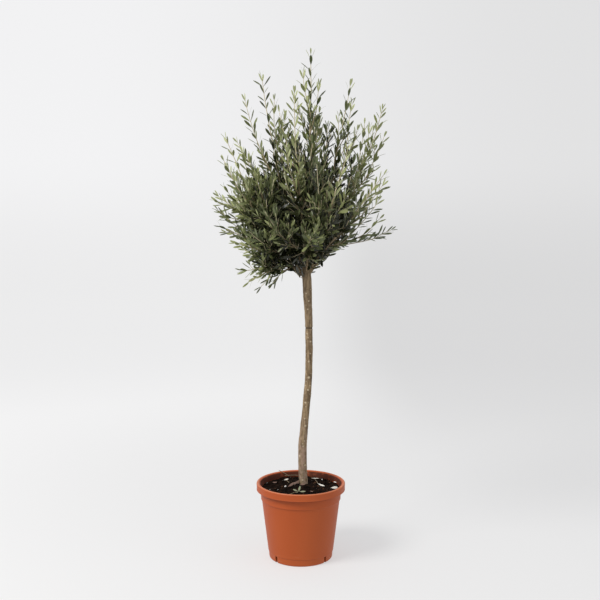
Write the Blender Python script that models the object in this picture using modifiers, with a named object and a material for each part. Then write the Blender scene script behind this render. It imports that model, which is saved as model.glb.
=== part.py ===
"""A young olive grown as a standard: a bare stem under a bushy head, in a round plastic nursery pot.

Metres, +Z up. The origin is the middle of the pot's underside, +X is the tree's right and -Y its front.
Every limb is one curve from the trunk to a shoot tip. Its first part is a bough, and the rest is the
stem of a mass of foliage, which branches by a seeded rule and carries pairs of leaves.
"""

import math
import random

import bmesh
import bpy
from mathutils import Matrix, Vector
from mathutils.kdtree import KDTree

CLEAR = 0.0003  # the gap left between two solids that bear on each other

# The pot: an injection-moulded container with a hooked rim, a collar under it and a stepped foot.
POT_STEPS = 32  # facets round the pot, which the compost inside it shares
POT_HEIGHT = 0.202
RIM_RADIUS = 0.120
RIM_DEPTH = 0.019
RIM_DRAFT = 0.0008  # how far the rim's skirt leans in
LIP_ROUND = 0.0042
MOUTH_RADIUS = 0.1056
MOUTH_FLARE = 0.0016  # how far the mouth opens from the collar up to the lip
COLLAR_FOOT = 0.157
WALL_TOP_RADIUS = 0.1056
FOOT_TOP = 0.020
FOOT_TOP_RADIUS = 0.0882
BASE_RADIUS = 0.0815
BASE_ROUND = 0.0040
WALL = 0.0022
FLOOR = 0.003
STEP = 0.0014  # how far the foot steps in from the wall, and the height of that step
SLOT_LENGTH = 0.030
SLOT_WIDTH = 0.005
SLOT_HEIGHT = 0.017
SLOT_ANGLES = (38, 142, 218, 322)  # degrees from +X

# The compost, heaped a little round the trunk.
SOIL_RINGS = 5
SOIL_LEVEL = 0.187
SOIL_HEAP = 0.004
HEAP_RADIUS = 0.022  # of the level ground that the trunk stands on
HEAP_SPREAD = 0.045
SOIL_ROUGHNESS = 0.0025

# The trunk's bends, as (x, y, z) of its middle line from the compost up to the tip of its leader.
TRUNK_BENDS = (
    (0.007, 0.024, SOIL_LEVEL + SOIL_HEAP + CLEAR),
    (0.005, 0.023, 0.262),
    (0.010, 0.021, 0.352),
    (0.021, 0.018, 0.485),
    (0.022, 0.016, 0.615),
    (0.017, 0.012, 0.742),
    (0.013, 0.012, 0.812),
    (0.018, 0.014, 0.900),
)
TRUNK_RADIUS = 0.0091
ROOT_FLARE = 0.0034
FLARE_HEIGHT = 0.085
HEAD_SWELLING = 0.0036
HEAD_FOOT = 0.600  # where the trunk begins to thicken towards its head
HEAD_TOP = 0.740  # where it is thickest, and the boughs start to leave it
LEADER_FOOT = 0.815  # from here up it is the slim leader
LEADER_TIP_RADIUS = 0.0038
LEADER_TAPER = 0.05

# The crown, measured from the head. REACH_UP is its reach straight up, REACH_OUT straight out.
CROWN_FOOT = Vector((0.017, 0.012, 0.755))
REACH_UP = 0.61
REACH_OUT = 0.20
REACH_FALL = 3.7  # how fast the reach shrinks as a limb leans

# Each limb: where it leaves the trunk (m), the way it points (degrees from +X towards +Y), its tip's
# lean from upright (degrees), and its tip's reach as a share of the crown's reach at that lean.
LIMBS = {
    "drooping_left": (0.734, 203, 90, 0.80),
    "low_left": (0.746, 174, 58, 1.15),
    "low_back": (0.751, 97, 61, 0.98),
    "low_right": (0.755, 13, 57, 1.06),
    "low_front": (0.764, 272, 59, 1.08),
    "right": (0.773, 333, 39, 1.02),
    "left": (0.774, 158, 48, 1.18),
    "back_right": (0.785, 46, 37, 1.05),
    "front_left": (0.795, 205, 33, 1.09),
    "back_left": (0.802, 126, 32, 1.02),
    "front_right": (0.807, 298, 33, 1.02),
    "right_tall": (0.815, 10, 25, 1.08),
    "front_tall": (0.823, 256, 17, 0.94),
    "high_left": (0.831, 178, 13, 1.00),
    "back_tall": (0.839, 82, 17, 0.94),
    "high_right": (0.847, 348, 13, 0.95),
}
LEADER = "top"
LEADER_LEAN = 1
LEADER_AZIMUTH = 0
BOUGH_SHARE = 0.27  # how much of a limb's curve is bough
BOUGH_RADIUS = 0.0056
BOUGH_TIP_RADIUS = 0.0026
BOUGH_SLIMNESS = 0.72  # the thickest that a bough may be, as a share of the trunk where it leaves
BOUGH_STEPS = 4
UPTURN = 0.62  # how far out a limb heads before it turns up, as a share of its spread
KNEE_RISE = 0.285  # how far it has risen by there, as a share of its rise
ARCH_UPTURN = 0.32  # the same two shares for a spreading limb, which climbs first and then arches out
ARCH_RISE = 0.82
ARCH_LEANS = (28, 56)  # the leans (degrees) between which limbs change from one form to the other
DROOP_LEANS = (60, 90)  # past the first of these a limb starts to hang
DROOP_LIFT = 0.075  # how far the knee of a limb that leans by the second is lifted, to hang from there

# The twigs of a mass of foliage: a stem, with side twigs up it that fork from it all round.
STEM_STEPS = 7
STEM_BARE = 0.03  # the share of the stem before its first leaves
TWIG_STEPS = 3
TWIG_BARE = 0.12
TWIG_RADIUS = 0.0017
TWIG_TIP_RADIUS = 0.0008
SIDE_TWIGS = 6
SIDE_SPAN = (0.06, 0.72)  # where the first and the last leave, as shares of the stem
SIDE_SPREAD = (26, 42)  # degrees between a side twig and its stem
SIDE_LENGTH = (0.37, 0.55)  # as a share of the stem above it
SIDE_SHORTEST = 0.075
SIDE_TRIES = (1, 0.75, 0.5)  # the lengths that it is tried at, as shares of its full length
SIDE_LIFT = 0.2  # how much a side twig turns up
GOLDEN_ANGLE = math.radians(137.5)

# The leaves: narrow, pointed and keeled, in pairs that each stand a quarter turn on from the last.
LEAF_SPACING = 0.048  # between pairs of leaves
LEAF_LENGTH = 0.058
LEAF_WIDTH = 0.014
LEAF_THICK = 0.0018
LEAF_WIDEST = 0.42  # how far up it is widest, as a share of its length
LEAF_BOW = 0.06  # how far its tip bends back, as a share of its length
LEAF_ANGLE = 40  # degrees between a leaf and its twig, at the twig's foot
LEAF_CLOSING = 18  # how much less that is at the twig's tip
LEAF_SCATTER = 6  # degrees, either way
LEAF_TURNED = 0.3  # radians that a leaf may stand out of its place round the twig
TIP_LEAF_ANGLE = 14
TIP_LEAF_FOOT = 0.985  # where the last pair sits, as a share of its twig
TIP_LEAF_REACH = 0.83  # how far it reaches past its twig, as a share of its length

# Each mass keeps to the space that is nearer to its own stem than to any other.
SPACE_MARGIN = 0.0024  # the least difference between those two distances
WOOD_MARGIN = 0.0012
ROOTED = 0.2  # the share of a leaf, from its foot, that is left out of the test
SURVEY_STEPS = 24  # points along a limb that distances are measured to

UP = Vector((0, 0, 1))


# ---- Small helpers ---------------------------------------------------------------------------------


def clear_scene():
    for thing in list(bpy.data.objects):
        bpy.data.objects.remove(thing)


def new_collection(name):
    collection = bpy.data.collections.new(name)
    bpy.context.scene.collection.children.link(collection)
    return collection


def plain_material(name, colour, roughness):
    material = bpy.data.materials.new(name)
    material.use_nodes = True
    shader = material.node_tree.nodes["Principled BSDF"]
    shader.inputs["Base Color"].default_value = (*colour, 1)
    shader.inputs["Roughness"].default_value = roughness
    shader.inputs["Metallic"].default_value = 0
    return material


def place(name, data, collection, material=None):
    """Puts mesh or curve data into the scene as a named object."""
    thing = bpy.data.objects.new(name, data)
    collection.objects.link(thing)
    if material:
        data.materials.append(material)
    return thing


def evaluated_mesh(thing):
    """A new mesh of an object as its modifiers leave it."""
    bpy.context.view_layer.update()
    return bpy.data.meshes.new_from_object(thing.evaluated_get(bpy.context.evaluated_depsgraph_get()))


def swapped(thing, mesh):
    """Removes an object and gives its name, place and collection to one that holds the mesh instead."""
    name, collection, world = thing.name, thing.users_collection[0], thing.matrix_world.copy()
    bpy.data.objects.remove(thing)
    solid = bpy.data.objects.new(name, mesh)
    solid.matrix_world = world
    collection.objects.link(solid)
    return solid


def made_mesh(thing):
    """Turns a curve or a modified object into a plain mesh object, with the seams of its caps welded."""
    mesh = evaluated_mesh(thing)
    form = bmesh.new()
    form.from_mesh(mesh)
    bmesh.ops.remove_doubles(form, verts=form.verts, dist=1e-6)
    form.to_mesh(mesh)
    form.free()
    return swapped(thing, mesh)


def boolean(thing, operation, other, solver="EXACT"):
    """Joins or cuts an object with a helper object, or with all the objects of a collection."""
    modifier = thing.modifiers.new(operation.lower(), "BOOLEAN")
    modifier.operation = operation
    modifier.solver = solver
    if isinstance(other, bpy.types.Collection):
        modifier.operand_type = "COLLECTION"
        modifier.collection = other
    else:
        modifier.object = other
    return modifier


def soften(thing, angle=35):
    thing.data.shade_smooth()
    thing.data.set_sharp_from_angle(angle=math.radians(angle))


def tapering(foot, tip, steps):
    """Evenly changing radii for a line of that many steps."""
    return [foot + (tip - foot) * n / steps for n in range(steps + 1)]


def eased(share):
    share = min(1.0, max(0.0, share))
    return share * share * (3 - 2 * share)


def between(value, limits):
    """0 up to the first limit, 1 from the second, and eased from one to the other."""
    return eased((value - limits[0]) / (limits[1] - limits[0]))


def polar(azimuth, lean):
    """The direction at these angles, in degrees, from +X and from upright."""
    turn, tip = math.radians(azimuth), math.radians(lean)
    return Vector((math.cos(turn) * math.sin(tip), math.sin(turn) * math.sin(tip), math.cos(tip)))


# ---- Lines: limbs and twigs ----------------------------------------------------------------------------


class Bend:
    """A smooth curve from foot to tip that leaves its foot towards knee, as Bezier's quadratic does."""

    def __init__(self, foot, knee, tip):
        self.foot, self.knee, self.tip = foot, knee, tip

    def at(self, share):
        rest = 1 - share
        return self.foot * rest * rest + self.knee * 2 * rest * share + self.tip * share * share

    def points(self, first, last, steps):
        return [self.at(first + (last - first) * n / steps) for n in range(steps + 1)]


class Twig:
    """A twig as the straight lengths that it is made of, so that what grows on it is rooted in its wood."""

    def __init__(self, line):
        self.line = line
        self.length = sum((stop - start).length for start, stop in zip(line, line[1:]))

    def spot(self, share):
        along = share * (len(self.line) - 1)
        number = min(int(along), len(self.line) - 2)
        return self.line[number], self.line[number + 1], along - number

    def at(self, share):
        start, stop, part = self.spot(share)
        return start.lerp(stop, part)

    def heading(self, share):
        start, stop, _ = self.spot(share)
        return (stop - start).normalized()


def through(bends, steps):
    """Points along a smooth line through bends, by Catmull and Rom's rule, steps to each stretch."""
    ends = [bends[0] * 2 - bends[1], *bends, bends[-1] * 2 - bends[-2]]
    line = []
    for before, start, stop, after in zip(ends, ends[1:], ends[2:], ends[3:]):
        for n in range(steps):
            s = n / steps
            bend = 2 * before - 5 * start + 4 * stop - after
            twist = 3 * start - before - 3 * stop + after
            line.append((2 * start + (stop - before) * s + bend * s**2 + twist * s**3) / 2)
    return [*line, bends[-1]]


def tube(name, line, radii, collection, rings=2, section=None):
    """A tapering round limb along a line. With a section curve, the limb has that outline instead."""
    curve = bpy.data.curves.new(name, "CURVE")
    curve.dimensions = "3D"
    curve.use_fill_caps = True
    if section:
        curve.bevel_mode = "OBJECT"
        curve.bevel_object = section
    else:
        curve.bevel_depth = 1
        curve.bevel_resolution = rings
    spline = curve.splines.new("POLY")
    spline.points.add(len(line) - 1)
    for point, place_of, radius in zip(spline.points, line, radii):
        point.co = (*place_of, 1)
        point.radius = radius
    return place(name, curve, collection)


# ---- The pot and its compost ---------------------------------------------------------------------------


def turned(name, profile, collection, material):
    """A solid of revolution. The profile runs from the axis up its inside and down its outer side."""
    mesh = bpy.data.meshes.new(name)
    corners = [(radius, 0, height) for radius, height in profile]
    mesh.from_pydata(corners, [(n, n + 1) for n in range(len(corners) - 1)], [])
    thing = place(name, mesh, collection, material)
    screw = thing.modifiers.new("turn", "SCREW")
    screw.steps = screw.render_steps = POT_STEPS
    screw.use_merge_vertices = True
    screw.merge_threshold = 0.00001
    screw.use_normal_calculate = False
    return thing


def rounded(radius, height, size, first, last, steps):
    """The points of a round corner of that size about a centre, from one angle to another in degrees."""
    angles = [math.radians(first + (last - first) * n / steps) for n in range(steps + 1)]
    return [(radius + size * math.cos(angle), height + size * math.sin(angle)) for angle in angles]


def pot_profile():
    rim_foot = POT_HEIGHT - RIM_DEPTH
    lip = POT_HEIGHT - LIP_ROUND
    skirt = RIM_RADIUS - RIM_DRAFT
    collar = MOUTH_RADIUS + WALL
    foot = FOOT_TOP_RADIUS - STEP
    inside = [
        (0, FLOOR),
        (BASE_RADIUS - WALL, FLOOR),
        (foot - WALL, FOOT_TOP),
        (WALL_TOP_RADIUS - WALL, COLLAR_FOOT),
        (MOUTH_RADIUS, rim_foot),
    ]
    rim = [
        *rounded(MOUTH_RADIUS + MOUTH_FLARE + LIP_ROUND, lip, LIP_ROUND, 180, 90, 2),
        *rounded(RIM_RADIUS - LIP_ROUND, lip, LIP_ROUND, 90, 0, 3),
        (skirt, rim_foot),
        (skirt - WALL, rim_foot),
        (RIM_RADIUS - WALL, lip - WALL),
        (collar + MOUTH_FLARE, lip - WALL),
    ]
    outside = [
        (collar, COLLAR_FOOT + STEP),
        (WALL_TOP_RADIUS, COLLAR_FOOT),
        (FOOT_TOP_RADIUS, FOOT_TOP),
        (foot, FOOT_TOP - STEP),
        *rounded(BASE_RADIUS, BASE_ROUND, BASE_ROUND, 0, -90, 2),
        (0, 0),
    ]
    return inside + rim + outside


def make_pot(parts, cutters):
    pot = turned("pot", pot_profile(), parts, plain_material("terracotta_plastic", (0.56, 0.17, 0.06), 0.5))
    for number, angle in enumerate(SLOT_ANGLES):
        form = bmesh.new()
        bmesh.ops.create_cube(form, size=1)
        mesh = bpy.data.meshes.new("slot")
        form.to_mesh(mesh)
        form.free()
        slot = place(f"slot_{number}", mesh, cutters)
        slot.scale = (SLOT_LENGTH, SLOT_WIDTH, 2 * SLOT_HEIGHT)
        slot.rotation_euler.z = math.radians(angle)
        slot.location = polar(angle, 90) * FOOT_TOP_RADIUS
        slot.hide_render = True
        slot.display_type = "WIRE"
        boolean(pot, "DIFFERENCE", slot)
    return pot


def soil_height(x, y):
    """The compost is level under the trunk, and sinks away from it unevenly."""
    away = max(0, math.hypot(x - TRUNK_BENDS[0][0], y - TRUNK_BENDS[0][1]) - HEAP_RADIUS)
    heap = SOIL_HEAP * math.exp(-((away / HEAP_SPREAD) ** 2))
    hollow = 0.5 + 0.25 * math.sin(71 * x + 1) + 0.25 * math.sin(64 * y - 93 * x)
    return SOIL_LEVEL + heap - SOIL_ROUGHNESS * hollow * eased(away / HEAP_RADIUS)


def make_soil(parts):
    wall = [(radius - CLEAR, height) for radius, height in pot_profile()[2:5]]
    top = [(wall[-1][0] * n / SOIL_RINGS, SOIL_LEVEL) for n in range(SOIL_RINGS + 1)]
    floor = [(BASE_RADIUS - WALL - CLEAR, FLOOR + CLEAR), (0, FLOOR + CLEAR)]
    dark = plain_material("compost", (0.03, 0.02, 0.015), 0.95)
    soil = made_mesh(turned("compost", [*top, *reversed(wall), *floor], parts, dark))
    for corner in soil.data.vertices:
        if math.isclose(corner.co.z, SOIL_LEVEL, abs_tol=CLEAR):
            corner.co.z = soil_height(corner.co.x, corner.co.y)


# ---- Trunk and boughs ----------------------------------------------------------------------------------


def trunk_radius(height):
    """It narrows from its root flare, swells to its head, and narrows again to its leader."""
    flare = ROOT_FLARE * math.exp(-(height - TRUNK_BENDS[0][2]) / FLARE_HEIGHT)
    head = HEAD_SWELLING * eased((height - HEAD_FOOT) / (HEAD_TOP - HEAD_FOOT))
    body = TRUNK_RADIUS + flare + head
    leader = LEADER_TIP_RADIUS + LEADER_TAPER * (TRUNK_BENDS[-1][2] - height)
    change = eased((height - HEAD_TOP) / (LEADER_FOOT - HEAD_TOP))
    return body * (1 - change) + leader * change


def trunk_line(steps=3):
    line = through([Vector(bend) for bend in TRUNK_BENDS], steps)
    line[1].x, line[1].y = line[0].x, line[0].y  # the foot stands upright, so that its cut is level
    return line


def trunk_at(height):
    """The middle of the trunk at a height."""
    line = trunk_line(12)
    return min(line, key=lambda point: abs(point.z - height))


def trunk_tube(name, extra, collection):
    """The trunk, or a form that is thicker than it by some extra."""
    line = trunk_line()
    radii = [trunk_radius(point.z) + extra for point in line]
    return made_mesh(tube(name, line, radii, collection, rings=3))


def limb_tip(azimuth, lean, share):
    """The tip of a limb's leading shoot. The leaves on it reach on from there to the crown's edge."""
    reach = REACH_OUT + (REACH_UP - REACH_OUT) * math.cos(math.radians(lean)) ** REACH_FALL
    return CROWN_FOOT + polar(azimuth, lean) * (reach * share - TIP_LEAF_REACH * LEAF_LENGTH)


def limb_curve(height, azimuth, lean, share):
    """The curve of a limb, from the middle of the trunk to the tip of its leading shoot."""
    foot = trunk_at(height)
    tip = limb_tip(azimuth, lean, share)
    spread = Vector((tip.x - foot.x, tip.y - foot.y, 0))
    arch = between(lean, ARCH_LEANS)
    out = UPTURN + (ARCH_UPTURN - UPTURN) * arch
    rise = (tip.z - foot.z) * (KNEE_RISE + (ARCH_RISE - KNEE_RISE) * arch)
    knee = foot + spread * out + UP * (rise + DROOP_LIFT * between(lean, DROOP_LEANS))
    return Bend(foot, knee, tip)


def limb_curves():
    """Every limb's curve, and the share of it where its mass of foliage begins."""
    limbs = {name: (limb_curve(*sizes), BOUGH_SHARE) for name, sizes in LIMBS.items()}
    tip = limb_tip(LEADER_AZIMUTH, LEADER_LEAN, 1)
    below, top = trunk_line()[-2:]
    knee = top + (top - below).normalized() * (tip - top).length / 2
    limbs[LEADER] = (Bend(top, knee, tip), 0)
    return limbs


def bough_radii(curve, steps):
    """A bough tapers evenly to its tip, and is always thinner than the trunk that it leaves."""
    return tapering(min(BOUGH_RADIUS, BOUGH_SLIMNESS * trunk_radius(curve.foot.z)), BOUGH_TIP_RADIUS, steps)


def make_boughs(limbs, parts, cutters, bark):
    """The boughs, each seated on the trunk by cutting it with a trunk that is CLEAR thicker all round."""
    seat = trunk_tube("seat", CLEAR, cutters)
    seat.hide_render = True
    seat.display_type = "WIRE"
    for name in LIMBS:
        curve, end = limbs[name]
        line = curve.points(0, end, BOUGH_STEPS)
        bough = made_mesh(tube("bough_" + name, line, bough_radii(curve, BOUGH_STEPS), parts))
        bough.data.materials.append(bark)
        boolean(bough, "DIFFERENCE", seat)


# ---- Foliage -------------------------------------------------------------------------------------------


class Spaces:
    """Which space belongs to which mass: each point to the stem that it is nearest to, clear of all wood."""

    def __init__(self, limbs):
        self.stems = {name: self.tree_of(curve.points(start, 1, SURVEY_STEPS))
                      for name, (curve, start) in limbs.items()}
        wood = [(point, trunk_radius(point.z)) for point in trunk_line(SURVEY_STEPS)]
        for name in LIMBS:
            curve, end = limbs[name]
            wood += zip(curve.points(0, end, SURVEY_STEPS), bough_radii(curve, SURVEY_STEPS))
        self.wood = self.tree_of([point for point, _ in wood])
        self.wood_radii = [radius for _, radius in wood]

    @staticmethod
    def tree_of(points):
        tree = KDTree(len(points))
        for number, point in enumerate(points):
            tree.insert(point, number)
        tree.balance()
        return tree

    def holds(self, name, points):
        """True if all the points are in the space of this mass and clear of the trunk and boughs."""
        return all(self.nearest_is(name, point) and self.clear_of_wood(point) for point in points)

    def nearest_is(self, name, point):
        limit = self.stems[name].find(point)[2] + SPACE_MARGIN
        return all(stem.find(point)[2] > limit for other, stem in self.stems.items() if other != name)

    def clear_of_wood(self, point):
        _, number, distance = self.wood.find(point)
        return distance > self.wood_radii[number] + WOOD_MARGIN


def leaf_mesh():
    """A pointed blade with a keel: its foot at the origin, its tip up +Z, its upper side towards +Y."""
    form = bmesh.new()
    bmesh.ops.create_uvsphere(form, u_segments=3, v_segments=2, radius=1)
    half_width = math.sin(math.radians(60))  # of the primitive's three-sided middle, which is 1.5 deep
    for corner in form.verts:
        along = LEAF_WIDEST if abs(corner.co.z) < 0.5 else (corner.co.z + 1) / 2
        across_leaf = -corner.co.x / half_width * LEAF_WIDTH / 2
        depth = -corner.co.y / 1.5 * LEAF_THICK - LEAF_BOW * LEAF_LENGTH * along**2
        corner.co = Vector((across_leaf, depth, along * LEAF_LENGTH))
    mesh = bpy.data.meshes.new("leaf")
    form.to_mesh(mesh)
    form.free()
    return mesh


def leaf_frame(foot, along, face):
    """The matrix that lays the leaf's length along one direction and turns its upper side to another."""
    side = face.cross(along).normalized()
    face = along.cross(side).normalized()
    turn = Matrix((side, face, along)).transposed().to_4x4()
    return Matrix.Translation(foot) @ turn


def across(direction, turn):
    """A direction square to another, turned round it by an angle."""
    side = direction.cross(Vector((0.31, -0.22, 0.93))).normalized()
    return Matrix.Rotation(turn, 3, direction) @ side


def leaf_on(twig, share, angle, turn):
    """The frame of one leaf, whose upper side faces the tip of its twig."""
    along = twig.heading(share)
    heading = along * math.cos(angle) + across(along, turn) * math.sin(angle)
    return leaf_frame(twig.at(share), heading, along - heading * along.dot(heading))


def leaf_places(twig, bare, rng):
    """Where the leaves of a twig sit: pairs, each turned a quarter from the last, and two at the tip."""
    pairs = max(1, round(twig.length * (1 - bare) / LEAF_SPACING))
    turn = rng.uniform(0, math.pi)
    for n in range(pairs):
        share = bare + (1 - bare) * (n + 0.5) / pairs
        angle = math.radians(LEAF_ANGLE - LEAF_CLOSING * share + rng.uniform(-LEAF_SCATTER, LEAF_SCATTER))
        for half in (0, math.pi):
            yield leaf_on(twig, share, angle, turn + half + rng.uniform(-LEAF_TURNED, LEAF_TURNED))
        turn += math.pi / 2
    for half in (0, math.pi):
        yield leaf_on(twig, TIP_LEAF_FOOT, math.radians(TIP_LEAF_ANGLE), turn + half)


def side_twigs(stem, rng):
    """Side twigs up a stem, turned round it by the golden angle and bending up as they grow.

    Each comes in several lengths, the longest first, for the space about it to choose from.
    """
    turn = rng.uniform(0, 2 * math.pi)
    first, last = SIDE_SPAN
    for n in range(SIDE_TWIGS):
        share = first + (last - first) * n / (SIDE_TWIGS - 1)
        foot, along = stem.at(share), stem.heading(share)
        spread = math.radians(rng.uniform(*SIDE_SPREAD))
        heading = along * math.cos(spread) + across(along, turn) * math.sin(spread)
        full = max(SIDE_SHORTEST, stem.length * (1 - share) * rng.uniform(*SIDE_LENGTH))
        sizes = [full * part for part in SIDE_TRIES]
        bends = [Bend(foot, foot + heading * size / 2, foot + heading.lerp(UP, SIDE_LIFT) * size)
                 for size in sizes]
        yield [Twig(bend.points(0, 1, TWIG_STEPS)) for bend in bends]
        turn += GOLDEN_ANGLE


def grow_twigs(name, stem, spaces, rng):
    """The side twigs that the space about them has room for, each as long as it can be."""
    for choices in side_twigs(stem, rng):
        for twig in choices:
            if spaces.holds(name, twig.line[1:]):
                yield twig
                break


def grow_mass(name, curve, start, seed, spaces, leaf, section, pieces):
    """The stem of a mass. Its side twigs and all their leaves go in pieces, overlapping where they join."""
    rng = random.Random(seed)
    foot_radius = LEADER_TIP_RADIUS if name == LEADER else BOUGH_TIP_RADIUS
    line = curve.points(start, 1, STEM_STEPS)
    line[0] += (line[1] - line[0]).normalized() * CLEAR
    stem = Twig(line)
    radii = tapering(foot_radius, TWIG_TIP_RADIUS, STEM_STEPS)
    solid_stem = made_mesh(tube("foliage_" + name, line, radii, pieces, section=section))
    twigs = [(stem, STEM_BARE)]
    for twig in grow_twigs(name, stem, spaces, rng):
        radii = tapering(TWIG_RADIUS, TWIG_TIP_RADIUS, TWIG_STEPS)
        made_mesh(tube("twig", twig.line, radii, pieces, section=section))
        twigs.append((twig, TWIG_BARE))
    corners = [corner.co for corner in leaf.vertices if corner.co.z > ROOTED * LEAF_LENGTH]
    tip = max(corners, key=lambda corner: corner.z)
    tested = [*corners, *(corner.lerp(tip, 0.5) for corner in corners)]
    for twig, bare in twigs:
        for frame in leaf_places(twig, bare, rng):
            if spaces.holds(name, [frame @ point for point in tested]):
                place("leaf", leaf.copy(), pieces).matrix_world = frame
    return solid_stem


def keep_largest(form):
    """Drops loose scraps and fills sealed hollows: of a joined form only its largest shell stays."""
    waiting = set(form.faces)
    shells = []
    while waiting:
        front = [waiting.pop()]
        shell = []
        while front:
            face = front.pop()
            shell.append(face)
            near = {other for edge in face.edges for other in edge.link_faces} & waiting
            waiting -= near
            front += near
        shells.append(shell)
    shells.sort(key=len)
    for shell in shells[:-1]:
        bmesh.ops.delete(form, geom=shell, context="FACES")


def joined_with(stem, pieces):
    """The stem's mesh joined with all the pieces, by the first solver that leaves one closed surface."""
    for solver in ("MANIFOLD", "EXACT"):
        modifier = boolean(stem, "UNION", pieces, solver)
        mesh = evaluated_mesh(stem)
        stem.modifiers.remove(modifier)
        form = bmesh.new()
        form.from_mesh(mesh)
        keep_largest(form)
        closed = all(edge.is_manifold for edge in form.edges)
        form.to_mesh(mesh)
        form.free()
        if closed:
            break
        print(f"{stem.name}: {solver} leaves an open surface")
    return mesh


def three_sides(collection):
    """The outline that twigs are drawn out of."""
    curve = bpy.data.curves.new("three_sides", "CURVE")
    outline = curve.splines.new("POLY")
    outline.points.add(2)
    outline.use_cyclic_u = True
    for n, corner in enumerate(outline.points):
        turn = math.radians(120 * n)
        corner.co = (math.sin(turn), math.cos(turn), 0, 1)
    return place("three_sides", curve, collection)


def make_foliage(limbs, parts, cutters):
    green = plain_material("olive_leaf", (0.12, 0.16, 0.09), 0.6)
    section = three_sides(cutters)
    spaces = Spaces(limbs)
    leaf = leaf_mesh()
    for seed, (name, (curve, start)) in enumerate(limbs.items(), start=1):
        pieces = new_collection("pieces")
        stem = grow_mass(name, curve, start, seed, spaces, leaf, section, pieces)
        pieces.objects.unlink(stem)
        parts.objects.link(stem)
        mass = swapped(stem, joined_with(stem, pieces))
        mass.data.materials.clear()
        mass.data.materials.append(green)
        for piece in list(pieces.objects):
            bpy.data.objects.remove(piece)
        bpy.data.collections.remove(pieces)
    bpy.data.objects.remove(section)


def main():
    clear_scene()
    parts = new_collection("potted_olive_tree")
    cutters = new_collection("cutters")
    bark = plain_material("bark", (0.21, 0.16, 0.11), 0.85)
    soften(make_pot(parts, cutters))
    make_soil(parts)
    trunk_tube("trunk", 0, parts).data.materials.append(bark)
    limbs = limb_curves()
    make_boughs(limbs, parts, cutters, bark)
    make_foliage(limbs, parts, cutters)


main()
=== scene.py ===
# %% [markdown]
# # A potted olive, dressed over its solid frame
#
# The frame is a set of plain solids: a pot, its compost, a trunk, sixteen boughs and seventeen masses
# of foliage. They carry the true sizes. This lesson puts a finished surface over each of them. The pot
# is drawn ring by ring, the bark is one skin grown over all the limbs, and the leaves are one small
# blade copied some thousands of times. The frame is loaded first and never moved, and its box is kept,
# so that the dressed tree can be measured against it at the end.

# %% Load the frame
import math
import random

import bpy
import numpy as np
from mathutils import Matrix, Vector, noise
from mathutils.kdtree import KDTree


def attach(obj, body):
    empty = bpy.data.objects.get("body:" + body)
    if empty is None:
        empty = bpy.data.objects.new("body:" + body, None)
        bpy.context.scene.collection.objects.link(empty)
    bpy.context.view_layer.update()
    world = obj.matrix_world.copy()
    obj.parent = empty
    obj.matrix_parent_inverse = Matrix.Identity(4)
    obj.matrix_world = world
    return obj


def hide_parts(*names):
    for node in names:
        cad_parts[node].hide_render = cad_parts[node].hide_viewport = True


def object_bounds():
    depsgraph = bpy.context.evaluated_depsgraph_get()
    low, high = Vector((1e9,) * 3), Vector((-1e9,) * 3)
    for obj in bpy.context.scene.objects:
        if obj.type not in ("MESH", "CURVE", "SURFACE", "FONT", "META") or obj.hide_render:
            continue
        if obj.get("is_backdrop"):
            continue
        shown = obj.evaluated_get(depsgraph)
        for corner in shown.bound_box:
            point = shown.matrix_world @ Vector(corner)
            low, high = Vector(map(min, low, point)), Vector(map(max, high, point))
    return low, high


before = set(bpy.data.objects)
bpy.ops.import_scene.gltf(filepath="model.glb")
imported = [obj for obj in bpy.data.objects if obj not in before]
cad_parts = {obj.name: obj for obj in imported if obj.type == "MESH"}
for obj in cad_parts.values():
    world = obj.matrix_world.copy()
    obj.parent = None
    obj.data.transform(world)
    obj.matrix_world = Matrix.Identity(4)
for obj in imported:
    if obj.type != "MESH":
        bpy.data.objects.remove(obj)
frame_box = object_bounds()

NODES = sorted(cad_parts)
MASSES = [name for name in NODES if name.startswith("foliage_")]
LIMB_NODES = ["trunk"] + [name for name in NODES if name.startswith("bough_")]
UP = Vector((0, 0, 1))
print(f"{len(NODES)} solids, of which {len(MASSES)} are masses of foliage")

# %% [markdown]
# ## Working as by hand
#
# Blender's operators act on whatever is selected, and a freshly loaded frame is selected all over. So
# each step begins by letting go of everything and taking hold of one object. In edit mode, corners are
# picked by their place, which is what a hand with a mouse does too.

# %% Taking hold of things
def take(*things):
    """Lets go of everything else, then selects these objects and makes the first one active."""
    if bpy.context.object and bpy.context.object.mode != "OBJECT":
        bpy.ops.object.mode_set(mode="OBJECT")
    bpy.ops.object.select_all(action="DESELECT")
    for thing in things:
        thing.select_set(True)
    bpy.context.view_layer.objects.active = things[0] if things else None


def pick(test, kind="vertices"):
    """In edit mode, selects the corners, edges or faces of the active mesh that pass a test."""
    bpy.ops.mesh.select_mode(type={"vertices": "VERT", "edges": "EDGE", "polygons": "FACE"}[kind])
    bpy.ops.mesh.select_all(action="DESELECT")
    bpy.ops.object.mode_set(mode="OBJECT")
    for element in getattr(bpy.context.object.data, kind):
        element.select = test(element)
    bpy.ops.object.mode_set(mode="EDIT")


def modified(thing, kind, **settings):
    """Gives an object a modifier with these settings, and applies it."""
    modifier = thing.modifiers.new(kind.lower(), kind)
    for name, value in settings.items():
        setattr(modifier, name, value)
    take(thing)
    bpy.ops.object.modifier_apply(modifier=modifier.name)


def placed(name, data):
    """Puts a new mesh or curve into the scene as an object."""
    thing = bpy.data.objects.new(name, data)
    bpy.context.scene.collection.objects.link(thing)
    return thing


def named(thing, name, *finishes):
    """Names a new piece, and gives it its finishes in order."""
    thing.name = thing.data.name = name
    thing.data.materials.clear()
    for finish in finishes:
        thing.data.materials.append(finish)
    return thing


def faces_of(thing):
    thing.data.calc_loop_triangles()
    return len(thing.data.loop_triangles)


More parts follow.
